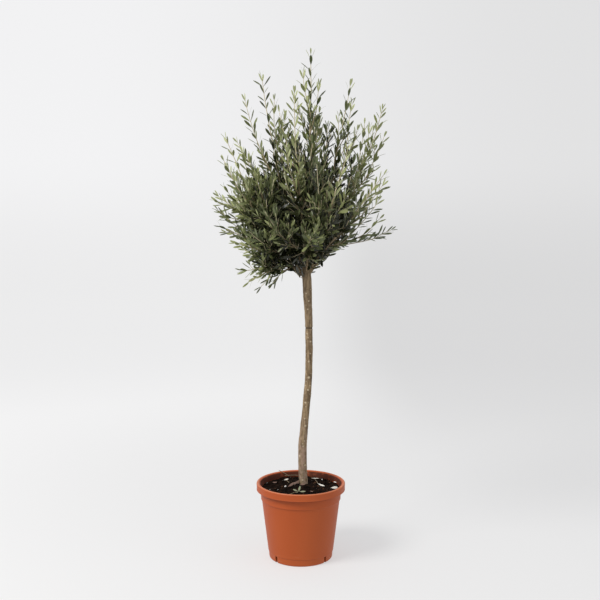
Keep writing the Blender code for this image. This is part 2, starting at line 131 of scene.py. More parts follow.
def settle(thing, slot, *nodes):
    """Puts a finished piece on the tree's one body, in place of the solids that it stands for."""
    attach(thing, "root")
    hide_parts(*nodes)
    print(f"{thing.name}: {faces_of(thing)} triangles")


take()

# %% [markdown]
# ## Mixing a finish
#
# A finish is a small tree of nodes. Writing it as sums is easier to read than placing nodes one by one,
# so a Wire stands for one socket and knows how to add, subtract and multiply. A Finish holds the tree
# itself. What varies over a surface goes to its colour, roughness or bump, and everything that is the
# same all over is set straight on the shader.

# %% Colours and wires
def paint(red, green, blue):
    """A screen colour from 0 to 255, as the linear colour that a shader works in."""
    shares = [value / 255 for value in (red, green, blue)]
    return (*[share / 12.92 if share < 0.04045 else ((share + 0.055) / 1.055) ** 2.4 for share in shares], 1)


class Wire:
    """One socket of a finish, on which sums can be done."""

    def __init__(self, finish, socket):
        self.finish, self.socket = finish, socket

    def sum(self, operation, *values):
        return self.finish.node("ShaderNodeMath", {"operation": operation}, dict(enumerate(values)))

    def __add__(self, other):
        return self.sum("ADD", self, other)

    def __sub__(self, other):
        return self.sum("SUBTRACT", self, other)

    def __rsub__(self, other):
        return self.sum("SUBTRACT", other, self)

    def __mul__(self, other):
        return self.sum("MULTIPLY", self, other)

    __radd__ = __add__

    def between(self, low, high):
        """0 below low and 1 above high, with a smooth change; the other way round if high is less."""
        flip = high < low
        ends = {"From Min": min(low, high), "From Max": max(low, high), "Value": self}
        share = self.finish.node("ShaderNodeMapRange", {"interpolation_type": "SMOOTHSTEP"}, ends)
        return 1 - share if flip else share


# %% Finishes
class Finish:
    """A material as it is being mixed."""

    def __init__(self, name, **constants):
        self.material = bpy.data.materials.new(name)
        self.material.use_nodes = True
        self.tree = self.material.node_tree
        self.shader = self.tree.nodes["Principled BSDF"]
        for socket, value in constants.items():
            self.feed(socket.replace("_", " "), value)

    def feed(self, socket, value):
        self.join(self.shader.inputs[socket], value)
        return self

    def join(self, socket, value):
        if isinstance(value, Wire):
            self.tree.links.new(value.socket, socket)
        else:
            socket.default_value = value

    def node(self, kind, settings=None, sockets=None, output=0):
        """Adds any node: its settings are made first, then its sockets are given values or wires."""
        made = self.tree.nodes.new(kind)
        for name, value in (settings or {}).items():
            setattr(made, name, value)
        for name, value in (sockets or {}).items():
            self.join(made.inputs[name], value)
        return Wire(self, made.outputs[output])

    def place(self):
        return self.node("ShaderNodeTexCoord", output="Object")

    def along(self, axis):
        return self.node("ShaderNodeSeparateXYZ", sockets={0: self.place()}, output=axis)

    def marks(self, name):
        """The number that was painted on each corner of the mesh under this name."""
        return self.node("ShaderNodeAttribute", {"attribute_name": name}, output="Fac")

    def pattern(self, kind, stretch, sockets):
        """Any pattern in space, with its features scaled along each axis."""
        spot = self.node("ShaderNodeMapping", sockets={"Vector": self.place(), "Scale": stretch})
        return self.node(kind, sockets={"Vector": spot, **sockets})

    def cloud(self, scale, detail=3, stretch=(1, 1, 1), rough=0.5):
        """A soft pattern from 0 to 1."""
        return self.pattern("ShaderNodeTexNoise", stretch,
                            {"Scale": scale, "Detail": detail, "Roughness": rough})

    def around(self):
        """How far a spot is from the upright axis through the origin."""
        flat = self.node("ShaderNodeVectorMath", {"operation": "MULTIPLY"}, {0: self.place(), 1: (1, 1, 0)})
        return self.node("ShaderNodeVectorMath", {"operation": "LENGTH"}, {0: flat}, output="Value")

    def cells(self, scale, stretch=(1, 1, 1)):
        """The distance to the nearest of many scattered points."""
        return self.pattern("ShaderNodeTexVoronoi", stretch, {"Scale": scale})

    def blend(self, share, first, second):
        return self.node("ShaderNodeMix", {"data_type": "RGBA"}, {0: share, 6: first, 7: second}, output=2)

    def bump(self, height, distance):
        relief = {"Height": height, "Distance": distance}
        return self.feed("Normal", self.node("ShaderNodeBump", sockets=relief))


# %% [markdown]
# ## The pot
#
# This is an injection-moulded nursery pot: a thin tapering wall, a foot that steps in, a collar under
# the mouth and a hooked rim that fingers can lift by. A lathe outline spun round would make it, and so
# would a ring pulled up by hand. The ring is used here, because each stop of the outline is then one
# extrude and one scale, and there is no seam to weld. The outline keeps the frame's sizes and adds the
# small radii that catch the light.

# %% Sizes of the pot
POT_SIDES = 128
POT_HEIGHT = 0.202
RIM_RADIUS = 0.120
RIM_DEPTH = 0.019
MOUTH_RADIUS = 0.1056
COLLAR_FOOT = 0.157
WALL_TOP_RADIUS = 0.1056
FOOT_TOP = 0.020
FOOT_TOP_RADIUS = 0.0882
BASE_RADIUS = 0.0815
WALL = 0.0022
FLOOR = 0.003
STEP = 0.0014
CREST_DEPTH = 0.0042  # the rim's rounded crest starts this far under the top
CREST_ROUND = 0.0030
SOFT = 0.0005  # the smallest moulded radius
SLOTS = (41, 139, 221, 319)  # where the drain slots stand round the foot, in degrees from +X
SLOT_SIZE = (0.030, 0.008, 0.034)


# %% The pot's outline
def corner(radius, height, size, first, last, steps=4):
    """Points of (radius, height) round a moulded corner, between two angles in degrees."""
    turns = [math.radians(first + (last - first) * n / steps) for n in range(steps + 1)]
    return [(radius + size * math.cos(turn), height + size * math.sin(turn)) for turn in turns]


def pot_outline():
    """From the middle of the underside, up the outside, over the rim and down to the middle of the floor."""
    lip, rim_foot = POT_HEIGHT - CREST_DEPTH, POT_HEIGHT - RIM_DEPTH
    skirt, collar, foot = RIM_RADIUS - 0.0008, MOUTH_RADIUS + WALL, FOOT_TOP_RADIUS - STEP
    # A shallow moulded ring runs round the middle of the underside.
    underside = [(0.006, 0.0016), (0.0115, 0.0016), (0.012, 0.0012), (0.0165, 0.0012), (0.017, 0.0016),
                 (0.0715, 0.0016), *corner(0.0725, 0.0008, 0.0008, 180, 270, 2)]
    outside = [*corner(BASE_RADIUS, 0.0040, 0.0040, -90, 0, 5), (foot - 0.0002, FOOT_TOP - STEP - 0.002),
               *corner(foot + SOFT, FOOT_TOP - STEP - SOFT, SOFT, 180, 90, 2),
               *corner(FOOT_TOP_RADIUS - SOFT, FOOT_TOP, SOFT, -70, 20, 2)]
    taper = (WALL_TOP_RADIUS - FOOT_TOP_RADIUS) / (COLLAR_FOOT - FOOT_TOP)
    wall = [(FOOT_TOP_RADIUS + taper * (z - FOOT_TOP), z) for z in (0.030, 0.055, 0.080, 0.105, 0.130, 0.150)]
    band = [(WALL_TOP_RADIUS - 0.0001, COLLAR_FOOT - SOFT), (WALL_TOP_RADIUS + SOFT, COLLAR_FOOT + SOFT),
            *corner(collar - SOFT, COLLAR_FOOT + STEP + SOFT, SOFT, -30, 20, 2),
            (collar + 0.0006, 0.172), (collar + 0.0010, rim_foot), (collar + 0.0016, lip - WALL)]
    hook = [(RIM_RADIUS - WALL - 0.0012, lip - WALL + 0.0002), (RIM_RADIUS - WALL, lip - WALL - 0.0012),
            (skirt - WALL, rim_foot + SOFT), (skirt - WALL + SOFT, rim_foot), (skirt - SOFT, rim_foot),
            *corner(skirt - SOFT + 0.0006, rim_foot + SOFT + 0.0003, SOFT, -60, 30, 2),
            (skirt + 0.0003, 0.1886), (RIM_RADIUS, lip)]
    # The crest slopes down towards the mouth.
    crest = [*corner(RIM_RADIUS - CREST_ROUND, lip + 0.0012, CREST_ROUND, 0, 90, 6),
             (0.1140, POT_HEIGHT - 0.0007), (0.1112, POT_HEIGHT - 0.0018),
             (0.1094, POT_HEIGHT - 0.0034), (0.1080, POT_HEIGHT - 0.0060)]
    inside = [(MOUTH_RADIUS, rim_foot), (WALL_TOP_RADIUS - WALL, COLLAR_FOOT), (foot - WALL, FOOT_TOP),
              (BASE_RADIUS - WALL, FLOOR + 0.002), (BASE_RADIUS - WALL - 0.002, FLOOR), (0.02, FLOOR)]
    return underside + outside + wall + band + hook + crest + inside


# %% Drawing up a ring
def pull_through(outline):
    """In edit mode, pulls the ring that is held through every stop of an outline."""
    for (was, low), (now, high) in zip(outline, outline[1:]):
        bpy.ops.mesh.extrude_edges_move(TRANSFORM_OT_translate={"value": (0, 0, high - low)})
        bpy.ops.transform.resize(value=(now / was, now / was, 1))


def drawn_up(outline):
    """A ring pulled up through an outline, with both of its open ends closed."""
    radius, height = outline[0]
    bpy.ops.mesh.primitive_circle_add(vertices=POT_SIDES, radius=radius, location=(0, 0, height))
    thing = bpy.context.object
    bpy.ops.object.transform_apply(location=True)
    bpy.ops.object.mode_set(mode="EDIT")
    bpy.ops.mesh.edge_face_add()
    bpy.ops.mesh.poke()
    pick(lambda spot: spot.co.xy.length > radius / 2)
    bpy.ops.mesh.select_mode(type="EDGE")
    pull_through(outline)
    bpy.ops.mesh.edge_face_add()
    bpy.ops.mesh.poke()
    bpy.ops.mesh.select_all(action="SELECT")
    bpy.ops.mesh.normals_make_consistent(inside=False)
    bpy.ops.object.mode_set(mode="OBJECT")
    return thing


# %% [markdown]
# The drain slots are cut where the wall meets the floor. A cutter is a box with its edges bevelled, so
# that the cut has the soft top end that a mould leaves.

# %% Draw the pot and cut its slots
def cut_slot(pot, turn):
    bpy.ops.mesh.primitive_cube_add(size=1, scale=SLOT_SIZE)
    cutter = bpy.context.object
    bpy.ops.object.transform_apply(scale=True)
    bpy.ops.object.mode_set(mode="EDIT")
    bpy.ops.mesh.bevel(offset=0.0012, segments=3, affect="EDGES")
    bpy.ops.object.mode_set(mode="OBJECT")
    cutter.rotation_euler.z = math.radians(turn)
    cutter.location = (FOOT_TOP_RADIUS * math.cos(math.radians(turn)),
                       FOOT_TOP_RADIUS * math.sin(math.radians(turn)), 0)
    modified(pot, "BOOLEAN", operation="DIFFERENCE", solver="EXACT", object=cutter)
    bpy.data.objects.remove(cutter)


pot = drawn_up(pot_outline())
for turn in SLOTS:
    cut_slot(pot, turn)
take(pot)
bpy.ops.object.shade_smooth_by_angle(angle=math.radians(32))
print("pot, top of rim at", round(max(spot.co.z for spot in pot.data.vertices), 4))

# %% [markdown]
# The plastic is a satin terracotta orange. A moulded wall is never quite even: the colour drifts a little
# where the melt flowed, and the skin has a fine grain. The inside of the mouth is painted dark brown, partly
# as the film that damp compost leaves and partly as painted shade. A pale line along the rim's crest is a
# painted highlight, and the band under the rim is painted a deeper red as painted shade.

# %% The pot's plastic
def terracotta_plastic():
    finish = Finish("terracotta_plastic", Specular_IOR_Level=0.32)
    radius, height = finish.around(), finish.along("Z")
    flow = finish.cloud(7, 2, (1, 1, 0.5)).between(0.3, 0.7)
    colour = finish.blend(flow, paint(186, 84, 34), paint(194, 92, 40))
    speckle = finish.cloud(420, 2).between(0.62, 0.75) * 0.35
    colour = finish.blend(speckle, colour, paint(166, 72, 36))
    # The inside of the mouth is painted dark brown: partly the film that damp compost leaves, partly painted
    # shade.
    soil_film_and_shade = finish.cloud(60, 4).between(0.1, 0.5) * radius.between(0.1125, 0.1108)
    soil_film_and_shade = soil_film_and_shade * height.between(0.184, 0.187) * height.between(0.2010, 0.1990)
    colour = finish.blend(soil_film_and_shade * 0.93, colour, paint(64, 27, 12))
    # Painted shade: the band under the rim's overhang is darkened to a deeper red.
    painted_rim_shade = height.between(0.1770, 0.1815) * height.between(0.1865, 0.1845) * radius.between(0.1150, 0.1130)
    colour = finish.blend(painted_rim_shade * 0.8, colour, paint(140, 46, 16))
    # Painted highlight: a pale line along the rim's crest.
    crest = height.between(0.1998, 0.2010) * radius.between(0.1138, 0.1155) * 0.5
    colour = finish.blend(crest, colour, paint(226, 146, 106))
    scuff = finish.cloud(30, 5, (1, 1, 5)).between(0.6, 0.72) * height.between(0.05, 0.0) * 0.35
    colour = finish.blend(scuff, colour, paint(205, 122, 82))
    finish.feed("Base Color", colour)
    finish.feed("Roughness", 0.44 + finish.cloud(24, 3) * 0.1 + soil_film_and_shade * 0.3)
    grain = finish.cloud(900, 2) * 0.4 + finish.cloud(60, 2, (1, 1, 0.3)) * 0.6
    return finish.bump(grain, 0.00012).material


named(pot, "pot_shell", terracotta_plastic())
settle(pot, "pot_plastic", "pot")

# %% [markdown]
# ## The compost
#
# Potting compost is crumbs of peat and bark, level under the stem and sinking unevenly to the wall. The
# body of it is drawn up like the pot and its top is cut finer, then each corner of the top is moved up
# or down by a noise. Loose crumbs and fibres are scattered over it, because the eye knows compost by
# its broken edge rather than by its colour.

# %% The compost's body
SOIL_LEVEL = 0.187
SOIL_HEAP = 0.004
HEAP_RADIUS = 0.022
HEAP_SPREAD = 0.045
SOIL_ROUGHNESS = 0.0025
STEM_FOOT = Vector((0.007, 0.024, 0))


def ease(share):
    """0 up to 0 and 1 from 1, with a smooth change between them."""
    share = min(1.0, max(0.0, share))
    return share * share * (3 - 2 * share)


def bulge(place, middle, width):
    """1 at the middle, falling off smoothly to both sides."""
    return math.exp(-(((place - middle) / width) ** 2))


def soil_height(x, y):
    """Level round the stem, sinking and uneven away from it, with lumps over all."""
    away = max(0, math.hypot(x - STEM_FOOT.x, y - STEM_FOOT.y) - HEAP_RADIUS)
    heap = SOIL_HEAP * bulge(away, 0, HEAP_SPREAD)
    hollow = 0.5 + 0.25 * math.sin(71 * x + 1) + 0.25 * math.sin(64 * y - 93 * x)
    lumps = 0.0016 * noise.noise(Vector((x, y, 0)) * 70) + 0.0012 * noise.noise(Vector((x, y, 0.3)) * 190)
    return SOIL_LEVEL + heap - SOIL_ROUGHNESS * hollow * ease(away / HEAP_RADIUS) + lumps


def make_compost():
    gap = 0.0003
    top = MOUTH_RADIUS - gap
    rings = [(top * share, SOIL_LEVEL) for share in (1, 0.92, 0.8, 0.66, 0.52, 0.38, 0.24, 0.1)]
    body = drawn_up([(0.02, FLOOR + gap), (BASE_RADIUS - WALL - 0.002 - gap, FLOOR + gap),
                     (FOOT_TOP_RADIUS - STEP - WALL - gap, FOOT_TOP),
                     (WALL_TOP_RADIUS - WALL - gap, COLLAR_FOOT), *rings])
    take(body)
    bpy.ops.object.mode_set(mode="EDIT")
    pick(lambda face: face.center.z > SOIL_LEVEL - 1e-5, "polygons")
    bpy.ops.mesh.subdivide(number_cuts=3)
    bpy.ops.object.mode_set(mode="OBJECT")
    for spot in body.data.vertices:
        if spot.co.z > SOIL_LEVEL - 1e-5:
            spot.co.z = soil_height(spot.co.x, spot.co.y)
    bpy.ops.object.shade_smooth()
    return body


def compost_finish(name, dark, light):
    finish = Finish(name, Roughness=0.95, Specular_IOR_Level=0.06)
    crumb = finish.cells(330)
    tone = finish.cloud(55, 5).between(0.35, 0.7)
    finish.feed("Base Color", finish.blend(tone * (1 - crumb * 0.4), dark, light))
    return finish.bump(finish.cloud(240, 5, rough=0.7) - crumb * 0.5, 0.0014).material


peat = compost_finish("peat", paint(15, 9, 6), paint(40, 27, 19))
compost = named(make_compost(), "compost_fill", peat)
settle(compost, "compost", "compost")

# %% [markdown]
# Small loose things are one shape each, copied by sums on arrays: every copy is turned, sized and set
# down in one step, and all the copies make one mesh. A crumb starts as a ball of twenty faces with its
# corners pulled about, so that none of it looks round.

# %% Copying a shape many times
class Pattern:
    """The corners and faces of a small modelled shape, ready to be copied by arrays."""

    def __init__(self, thing):
        self.corners = np.array([spot.co for spot in thing.data.vertices])
        self.faces = [list(face.vertices) for face in thing.data.polygons]
        self.slots = [face.material_index for face in thing.data.polygons]
        bpy.data.objects.remove(thing)

    def copied(self, name, turns, feet, sizes, bows=None):
        """One mesh object of every copy: a turn, a foot and a size for each, and for leaves a bow."""
        local = self.corners[None, :, :] * np.asarray(sizes)[:, None, :]
        if bows is not None:
            local[:, :, 1] -= np.asarray(bows)[:, None] * local[:, :, 2] ** 2 / np.asarray(sizes)[:, 2:3]
        spots = np.einsum("nij,nvj->nvi", np.asarray(turns), local) + np.asarray(feet)[:, None, :]
        starts = np.arange(len(spots)) * len(self.corners)
        faces = [[corner + start for corner in face] for start in starts.tolist() for face in self.faces]
        mesh = bpy.data.meshes.new(name)
        mesh.from_pydata(spots.reshape(-1, 3).tolist(), [], faces)
        mesh.polygons.foreach_set("material_index", np.tile(self.slots, len(spots)).astype(np.int32))
        mesh.update()
        return placed(name, mesh)


def tumbled(rng):
    """A turn in any direction, as a matrix."""
    axis = Vector([rng.gauss(0, 1) for _ in range(3)]).normalized()
    return np.array(Matrix.Rotation(rng.uniform(0, 2 * math.pi), 3, axis))


def crumb_pattern(seed):
    rng = random.Random(seed)
    bpy.ops.mesh.primitive_ico_sphere_add(subdivisions=1, radius=0.5)
    crumb = bpy.context.object
    for spot in crumb.data.vertices:
        spot.co *= rng.uniform(0.62, 1.15)
    return Pattern(crumb)


# %% Crumbs of peat, chips of bark and white grains
SOIL_RADIUS = 0.1015
STEM_CLEAR = 0.013


def scattered(rng, count):
    """Spots spread evenly over the compost, kept off the stem."""
    spots = []
    while len(spots) < count:
        radius, turn = SOIL_RADIUS * math.sqrt(rng.random()), rng.uniform(0, 2 * math.pi)
        x, y = radius * math.cos(turn), radius * math.sin(turn)
        if math.hypot(x - STEM_FOOT.x, y - STEM_FOOT.y) > STEM_CLEAR:
            spots.append((x, y, soil_height(x, y)))
    return spots


def strew(name, seed, count, smallest, largest, flatness, finish):
    """Scatters copies of one crumb over the compost, most of them near the smallest size."""
    rng = random.Random(seed)
    feet = scattered(rng, count)
    sizes = []
    for _ in feet:
        size = smallest + (largest - smallest) * rng.random() ** 2.2
        sizes.append((size, size * rng.uniform(0.55, 0.9), size * flatness * rng.uniform(0.6, 1.2)))
    turns = [tumbled(rng) for _ in feet]
    settle(named(crumb_pattern(seed).copied(name, turns, feet, sizes), name, finish), "compost")


bark_chip = compost_finish("bark_chip", paint(44, 29, 20), paint(98, 68, 50))
perlite = compost_finish("perlite", paint(205, 203, 196), paint(236, 235, 230))
strew("compost_crumbs", 3, 1500, 0.0018, 0.0062, 0.8, peat)
strew("compost_chips", 4, 260, 0.0030, 0.0095, 0.4, bark_chip)
strew("compost_grains", 5, 26, 0.0009, 0.0024, 0.8, perlite)

# %% [markdown]
# ## The limbs
#
# The frame draws every limb as one curve from the stem to the tip of its leading shoot. The same rule
# is written again here, with the same sizes, so that skin, twigs and leaves fall where the solids are.

# %% Sizes of the limbs
TRUNK_BENDS = ((0.007, 0.024, 0.1913), (0.005, 0.023, 0.262), (0.010, 0.021, 0.352), (0.021, 0.018, 0.485),
               (0.022, 0.016, 0.615), (0.017, 0.012, 0.742), (0.013, 0.012, 0.812), (0.018, 0.014, 0.900))
CROWN_FOOT = Vector((0.017, 0.012, 0.755))
REACH_UP = 0.61
REACH_OUT = 0.20
REACH_FALL = 3.7
LEAF_REACH = 0.0481  # how far the leaves reach past the tip of a leading shoot
TOP_LEAN = 1  # degrees

STEM_RADIUS = 0.0091
FLARE = 0.0034  # what the root flare adds to it at the compost
FLARE_FALL = 0.085
HEAD = 0.0036  # what the stem's head adds to it
HEAD_HEIGHTS = (0.600, 0.740)
LEADER_RADIUS = 0.0038
LEADER_TAPER = 0.05
LEADER_HEIGHTS = (0.740, 0.815)  # the stem turns into its leader between these

# Height leaving the trunk, the way it points from +X, its tip's lean and its share of the reach.
LIMBS = {
    "drooping_left": (0.734, 203, 90, 0.80),
    "low_left": (0.746, 174, 58, 1.15),
    "low_back": (0.751, 97, 61, 0.98),
    "low_right": (0.755, 13, 57, 1.06),
    "low_front": (0.764, 272, 59, 1.08),
    "right": (0.773, 333, 39, 1.02),
    "left": (0.774, 158, 48, 1.18),
    "back_right": (0.785, 46, 37, 1.05),
    "front_left": (0.795, 205, 33, 1.09),
    "back_left": (0.802, 126, 32, 1.02),
    "front_right": (0.807, 298, 33, 1.02),
    "right_tall": (0.815, 10, 25, 1.08),
    "front_tall": (0.823, 256, 17, 0.94),
    "high_left": (0.831, 178, 13, 1.00),
    "back_tall": (0.839, 82, 17, 0.94),
    "high_right": (0.847, 348, 13, 0.95),
}
BOUGH_SHARE = 0.27
BOUGH_RADIUS = 0.0056
BOUGH_TIP_RADIUS = 0.0026
UPTURN = 0.62  # an upright limb heads out first and then turns up
KNEE_RISE = 0.285
ARCH_UPTURN = 0.32  # a spreading limb climbs first and then arches out
ARCH_RISE = 0.82
ARCH_LEANS = (28, 56)
DROOP_LEANS = (60, 90)
DROOP_LIFT = 0.075  # how far a drooping limb's knee is lifted over its foot


# %% Curves of the limbs
def polar(turn, lean):
    """A direction, from its turn round from +X and its lean from upright, in degrees."""
    turn, lean = math.radians(turn), math.radians(lean)
    return Vector((math.cos(turn) * math.sin(lean), math.sin(turn) * math.sin(lean), math.cos(lean)))


def bent(foot, knee, tip, first, last, steps):
    """Points of the curve that leaves its foot towards its knee and ends at its tip."""
    shares = [first + (last - first) * n / steps for n in range(steps + 1)]
    return [foot * (1 - s) ** 2 + knee * 2 * (1 - s) * s + tip * s * s for s in shares]


def through(bends, steps):
    """A smooth line through bends, by Catmull and Rom's rule."""
    ends = [bends[0] * 2 - bends[1], *bends, bends[-1] * 2 - bends[-2]]
    line = []
    for before, start, stop, after in zip(ends, ends[1:], ends[2:], ends[3:]):
        for s in [n / steps for n in range(steps)]:
            bend = 2 * before - 5 * start + 4 * stop - after
            twist = 3 * start - before - 3 * stop + after
            line.append((2 * start + (stop - before) * s + bend * s**2 + twist * s**3) / 2)
    return [*line, bends[-1]]


def climbed(height, heights):
    """How far a height has come from the lower to the upper of two heights, smoothly."""
    low, high = heights
    return ease((height - low) / (high - low))


def trunk_radius(height):
    """It narrows from its root flare, swells to its head, and narrows again to its leader."""
    foot, top = TRUNK_BENDS[0][2], TRUNK_BENDS[-1][2]
    flare = FLARE * math.exp(-(height - foot) / FLARE_FALL)
    body = STEM_RADIUS + flare + HEAD * climbed(height, HEAD_HEIGHTS)
    leader = LEADER_RADIUS + LEADER_TAPER * (top - height)
    change = climbed(height, LEADER_HEIGHTS)
    return body * (1 - change) + leader * change


def trunk_middle(height):
    """The point of the trunk's line that is nearest to a height."""
    return min(TRUNK, key=lambda spot: abs(spot.z - height))


def reach_at(lean):
    """How far the crown reaches from its foot at a lean from upright."""
    return REACH_OUT + (REACH_UP - REACH_OUT) * max(0, math.cos(lean)) ** REACH_FALL


def limb_line(name, first, last, steps):
    """Part of a limb's curve. The leading limb, top, goes on from the tip of the trunk."""
    if name == "top":
        foot, below = TRUNK[-1], TRUNK[-2]
        tip = CROWN_FOOT + polar(0, TOP_LEAN) * (reach_at(math.radians(TOP_LEAN)) - LEAF_REACH)
        knee = foot + (foot - below).normalized() * (tip - foot).length / 2
        return bent(foot, knee, tip, first, last, steps)
    height, turn, lean, share = LIMBS[name]
    foot = trunk_middle(height)
    tip = CROWN_FOOT + polar(turn, lean) * (reach_at(math.radians(lean)) * share - LEAF_REACH)
    spread = Vector((tip.x - foot.x, tip.y - foot.y, 0))
    arch = climbed(lean, ARCH_LEANS)
    out = UPTURN + (ARCH_UPTURN - UPTURN) * arch
    rise = KNEE_RISE + (ARCH_RISE - KNEE_RISE) * arch
    lift = DROOP_LIFT * climbed(lean, DROOP_LEANS)
    knee = foot + spread * out + UP * ((tip.z - foot.z) * rise + lift)
    return bent(foot, knee, tip, first, last, steps)


TRUNK = through([Vector(bend) for bend in TRUNK_BENDS], 12)
print("the leading shoot ends at", [round(size, 3) for size in limb_line("top", 1, 1, 1)[0]])

# %% [markdown]
# ## The bark
#
# Where a bough leaves an olive's stem the bark runs over both without a break. Joining tubes one to
# another would leave a crease, so the tubes are only a start: a remesh turns trunk and boughs into one
# skin, smoothing fills the forks, and then the skin is pushed in and out along its own normals. The
# push is long lumps and fine upright fibres, a cut ring three quarters of the way up, and the small pale
# knots that the bare stem carries where its side shoots were taken off.

# %% Tubes for trunk and boughs
RING_HEIGHT = 0.6193  # the scar round the stem
CROOK_HEIGHT = 0.300  # the thick crook low on the stem
# The height of each pale knot, where it sits from +X in degrees, and its size.
KNOTS = ((0.204, 264, 0.0026), (0.246, 305, 0.0030), (0.271, 228, 0.0028), (0.298, 277, 0.0018),
         (0.3135, 292, 0.0016), (0.348, 286, 0.0028), (0.377, 266, 0.0020), (0.415, 250, 0.0024),
         (0.451, 276, 0.0026), (0.486, 272, 0.0036), (0.528, 268, 0.0024), (0.579, 296, 0.0022),
         (0.600, 240, 0.0018), (0.667, 262, 0.0018), (0.690, 280, 0.0022), (0.712, 250, 0.0020))
SMALL_KNOTS = 90
SKIN_CELL = 0.0012
# The radius of these boughs where they leave the stem. The others have BOUGH_RADIUS.
STOUT = {"right": 0.0068, "left": 0.0064, "low_right": 0.0060, "low_left": 0.0050, "drooping_left": 0.0042}


def limb_tube(line, radii):
    """A round tapering limb along a line, as a plain mesh."""
    curve = bpy.data.curves.new("limb", "CURVE")
    curve.dimensions = "3D"
    curve.bevel_depth = 1
    curve.bevel_resolution = 4
    curve.use_fill_caps = True
    spline = curve.splines.new("POLY")
    spline.points.add(len(line) - 1)
    for point, spot, radius in zip(spline.points, line, radii):
        point.co, point.radius = (*spot, 1), radius
    take(placed("limb", curve))
    bpy.ops.object.convert(target="MESH")
    return bpy.context.object


def bough_radius(name, share):
    """How thick a bough is at a share of its own length."""
    foot_height = LIMBS[name][0]
    foot = min(STOUT.get(name, BOUGH_RADIUS), 0.8 * trunk_radius(foot_height))
    return foot + (BOUGH_TIP_RADIUS - foot) * share


# %% Draw the limbs into one skin
def make_skin():
    """Trunk and boughs in one skin. The trunk's foot goes on down into the compost."""
    sunk = [TRUNK[0] - UP * 0.007, TRUNK[0] - UP * 0.003, *TRUNK[1:]]
    limbs = [limb_tube(sunk, [trunk_radius(max(spot.z, TRUNK[0].z)) for spot in sunk])]
    for name in LIMBS:
        radii = [bough_radius(name, n / 12) for n in range(13)]
        limbs.append(limb_tube(limb_line(name, 0, BOUGH_SHARE, 12), radii))
    take(*limbs)
    bpy.ops.object.join()
    skin = bpy.context.object
    modified(skin, "REMESH", mode="VOXEL", voxel_size=SKIN_CELL)
    modified(skin, "SMOOTH", factor=0.5, iterations=7)
    return skin


skin = make_skin()
print("limbs in one skin of", faces_of(skin), "triangles")

# %% Relief of the bark
LUMPS, FIBRES, SCALES = 0.0008, 0.00042, 0.0003  # how far each pushes the skin out and in
KNOT_RISE = 0.0007
RING_CUT = 0.0012
CROOK_SHIFT = 0.0014  # towards -X


def knot_spots(rng):
    """Where the pale knots sit: those down the front, and a scatter of smaller ones all round."""
    for height, turn, size in KNOTS:
        yield trunk_middle(height) + polar(turn, 90) * trunk_radius(height), size
    for _ in range(SMALL_KNOTS):
        height, turn = rng.uniform(0.20, 0.73), rng.uniform(0, 360)
        yield trunk_middle(height) + polar(turn, 90) * trunk_radius(height), rng.uniform(0.0008, 0.0018)


def looked_up(spots):
    """A tree of numbered spots that finds the nearest one quickly."""
    tree = KDTree(len(spots))
    for number, spot in enumerate(spots):
        tree.insert(spot, number)
    tree.balance()
    return tree


def raise_bark(skin):
    """Moves every corner of the skin, and paints where it is knot and where its grooves are darkened as
    painted shade.
    """
    knots = list(knot_spots(random.Random(11)))
    tree = looked_up([spot for spot, _ in knots])
    moved, pale, groove_shade_marks = [], [], []
    for place, normal in [(spot.co.copy(), spot.normal.copy()) for spot in skin.data.vertices]:
        x, y, z = place
        # The relief dies out up the thin boughs.
        thick = min(1, max(0.25, (0.95 - z) * 3))
        lump = noise.noise(Vector((x * 55, y * 55, z * 24)))
        fibre = noise.noise(Vector((x * 330, y * 330, z * 42)))
        scale = noise.noise(Vector((x * 170, y * 170, z * 95 + 7)))
        _, number, away = tree.find(place)
        size = knots[number][1]
        knot = ease(1.4 - away / size) if away < size * 1.5 else 0
        ring = bulge(z, RING_HEIGHT, 0.0022)
        crook = bulge(z, CROOK_HEIGHT, 0.035)
        # The bark swells over the ring, is thickest on the bare stem and bulges at the crook.
        swell = 0.0006 * bulge(z, RING_HEIGHT + 0.004, 0.006) + 0.0013 * crook
        swell += 0.0009 * ease((z - 0.20) / 0.05) * ease((0.68 - z) / 0.05)
        push = (LUMPS * lump + FIBRES * fibre + SCALES * scale) * thick
        place.x -= CROOK_SHIFT * crook
        moved.extend(place + normal * (push + KNOT_RISE * knot - RING_CUT * ring + swell))
        pale.append(knot)
        # The sunken fibres and the cut ring are marked here, to be darkened as painted shade.
        groove_shade_marks.append(min(1, ring + max(0, -fibre * 0.9)))
    skin.data.vertices.foreach_set("co", moved)
    for name, values in (("knot", pale), ("painted_groove_shade", groove_shade_marks)):
        skin.data.attributes.new(name, "FLOAT", "POINT").data.foreach_set("value", values)
    skin.data.update()


raise_bark(skin)
take(skin)
bpy.ops.object.shade_smooth()
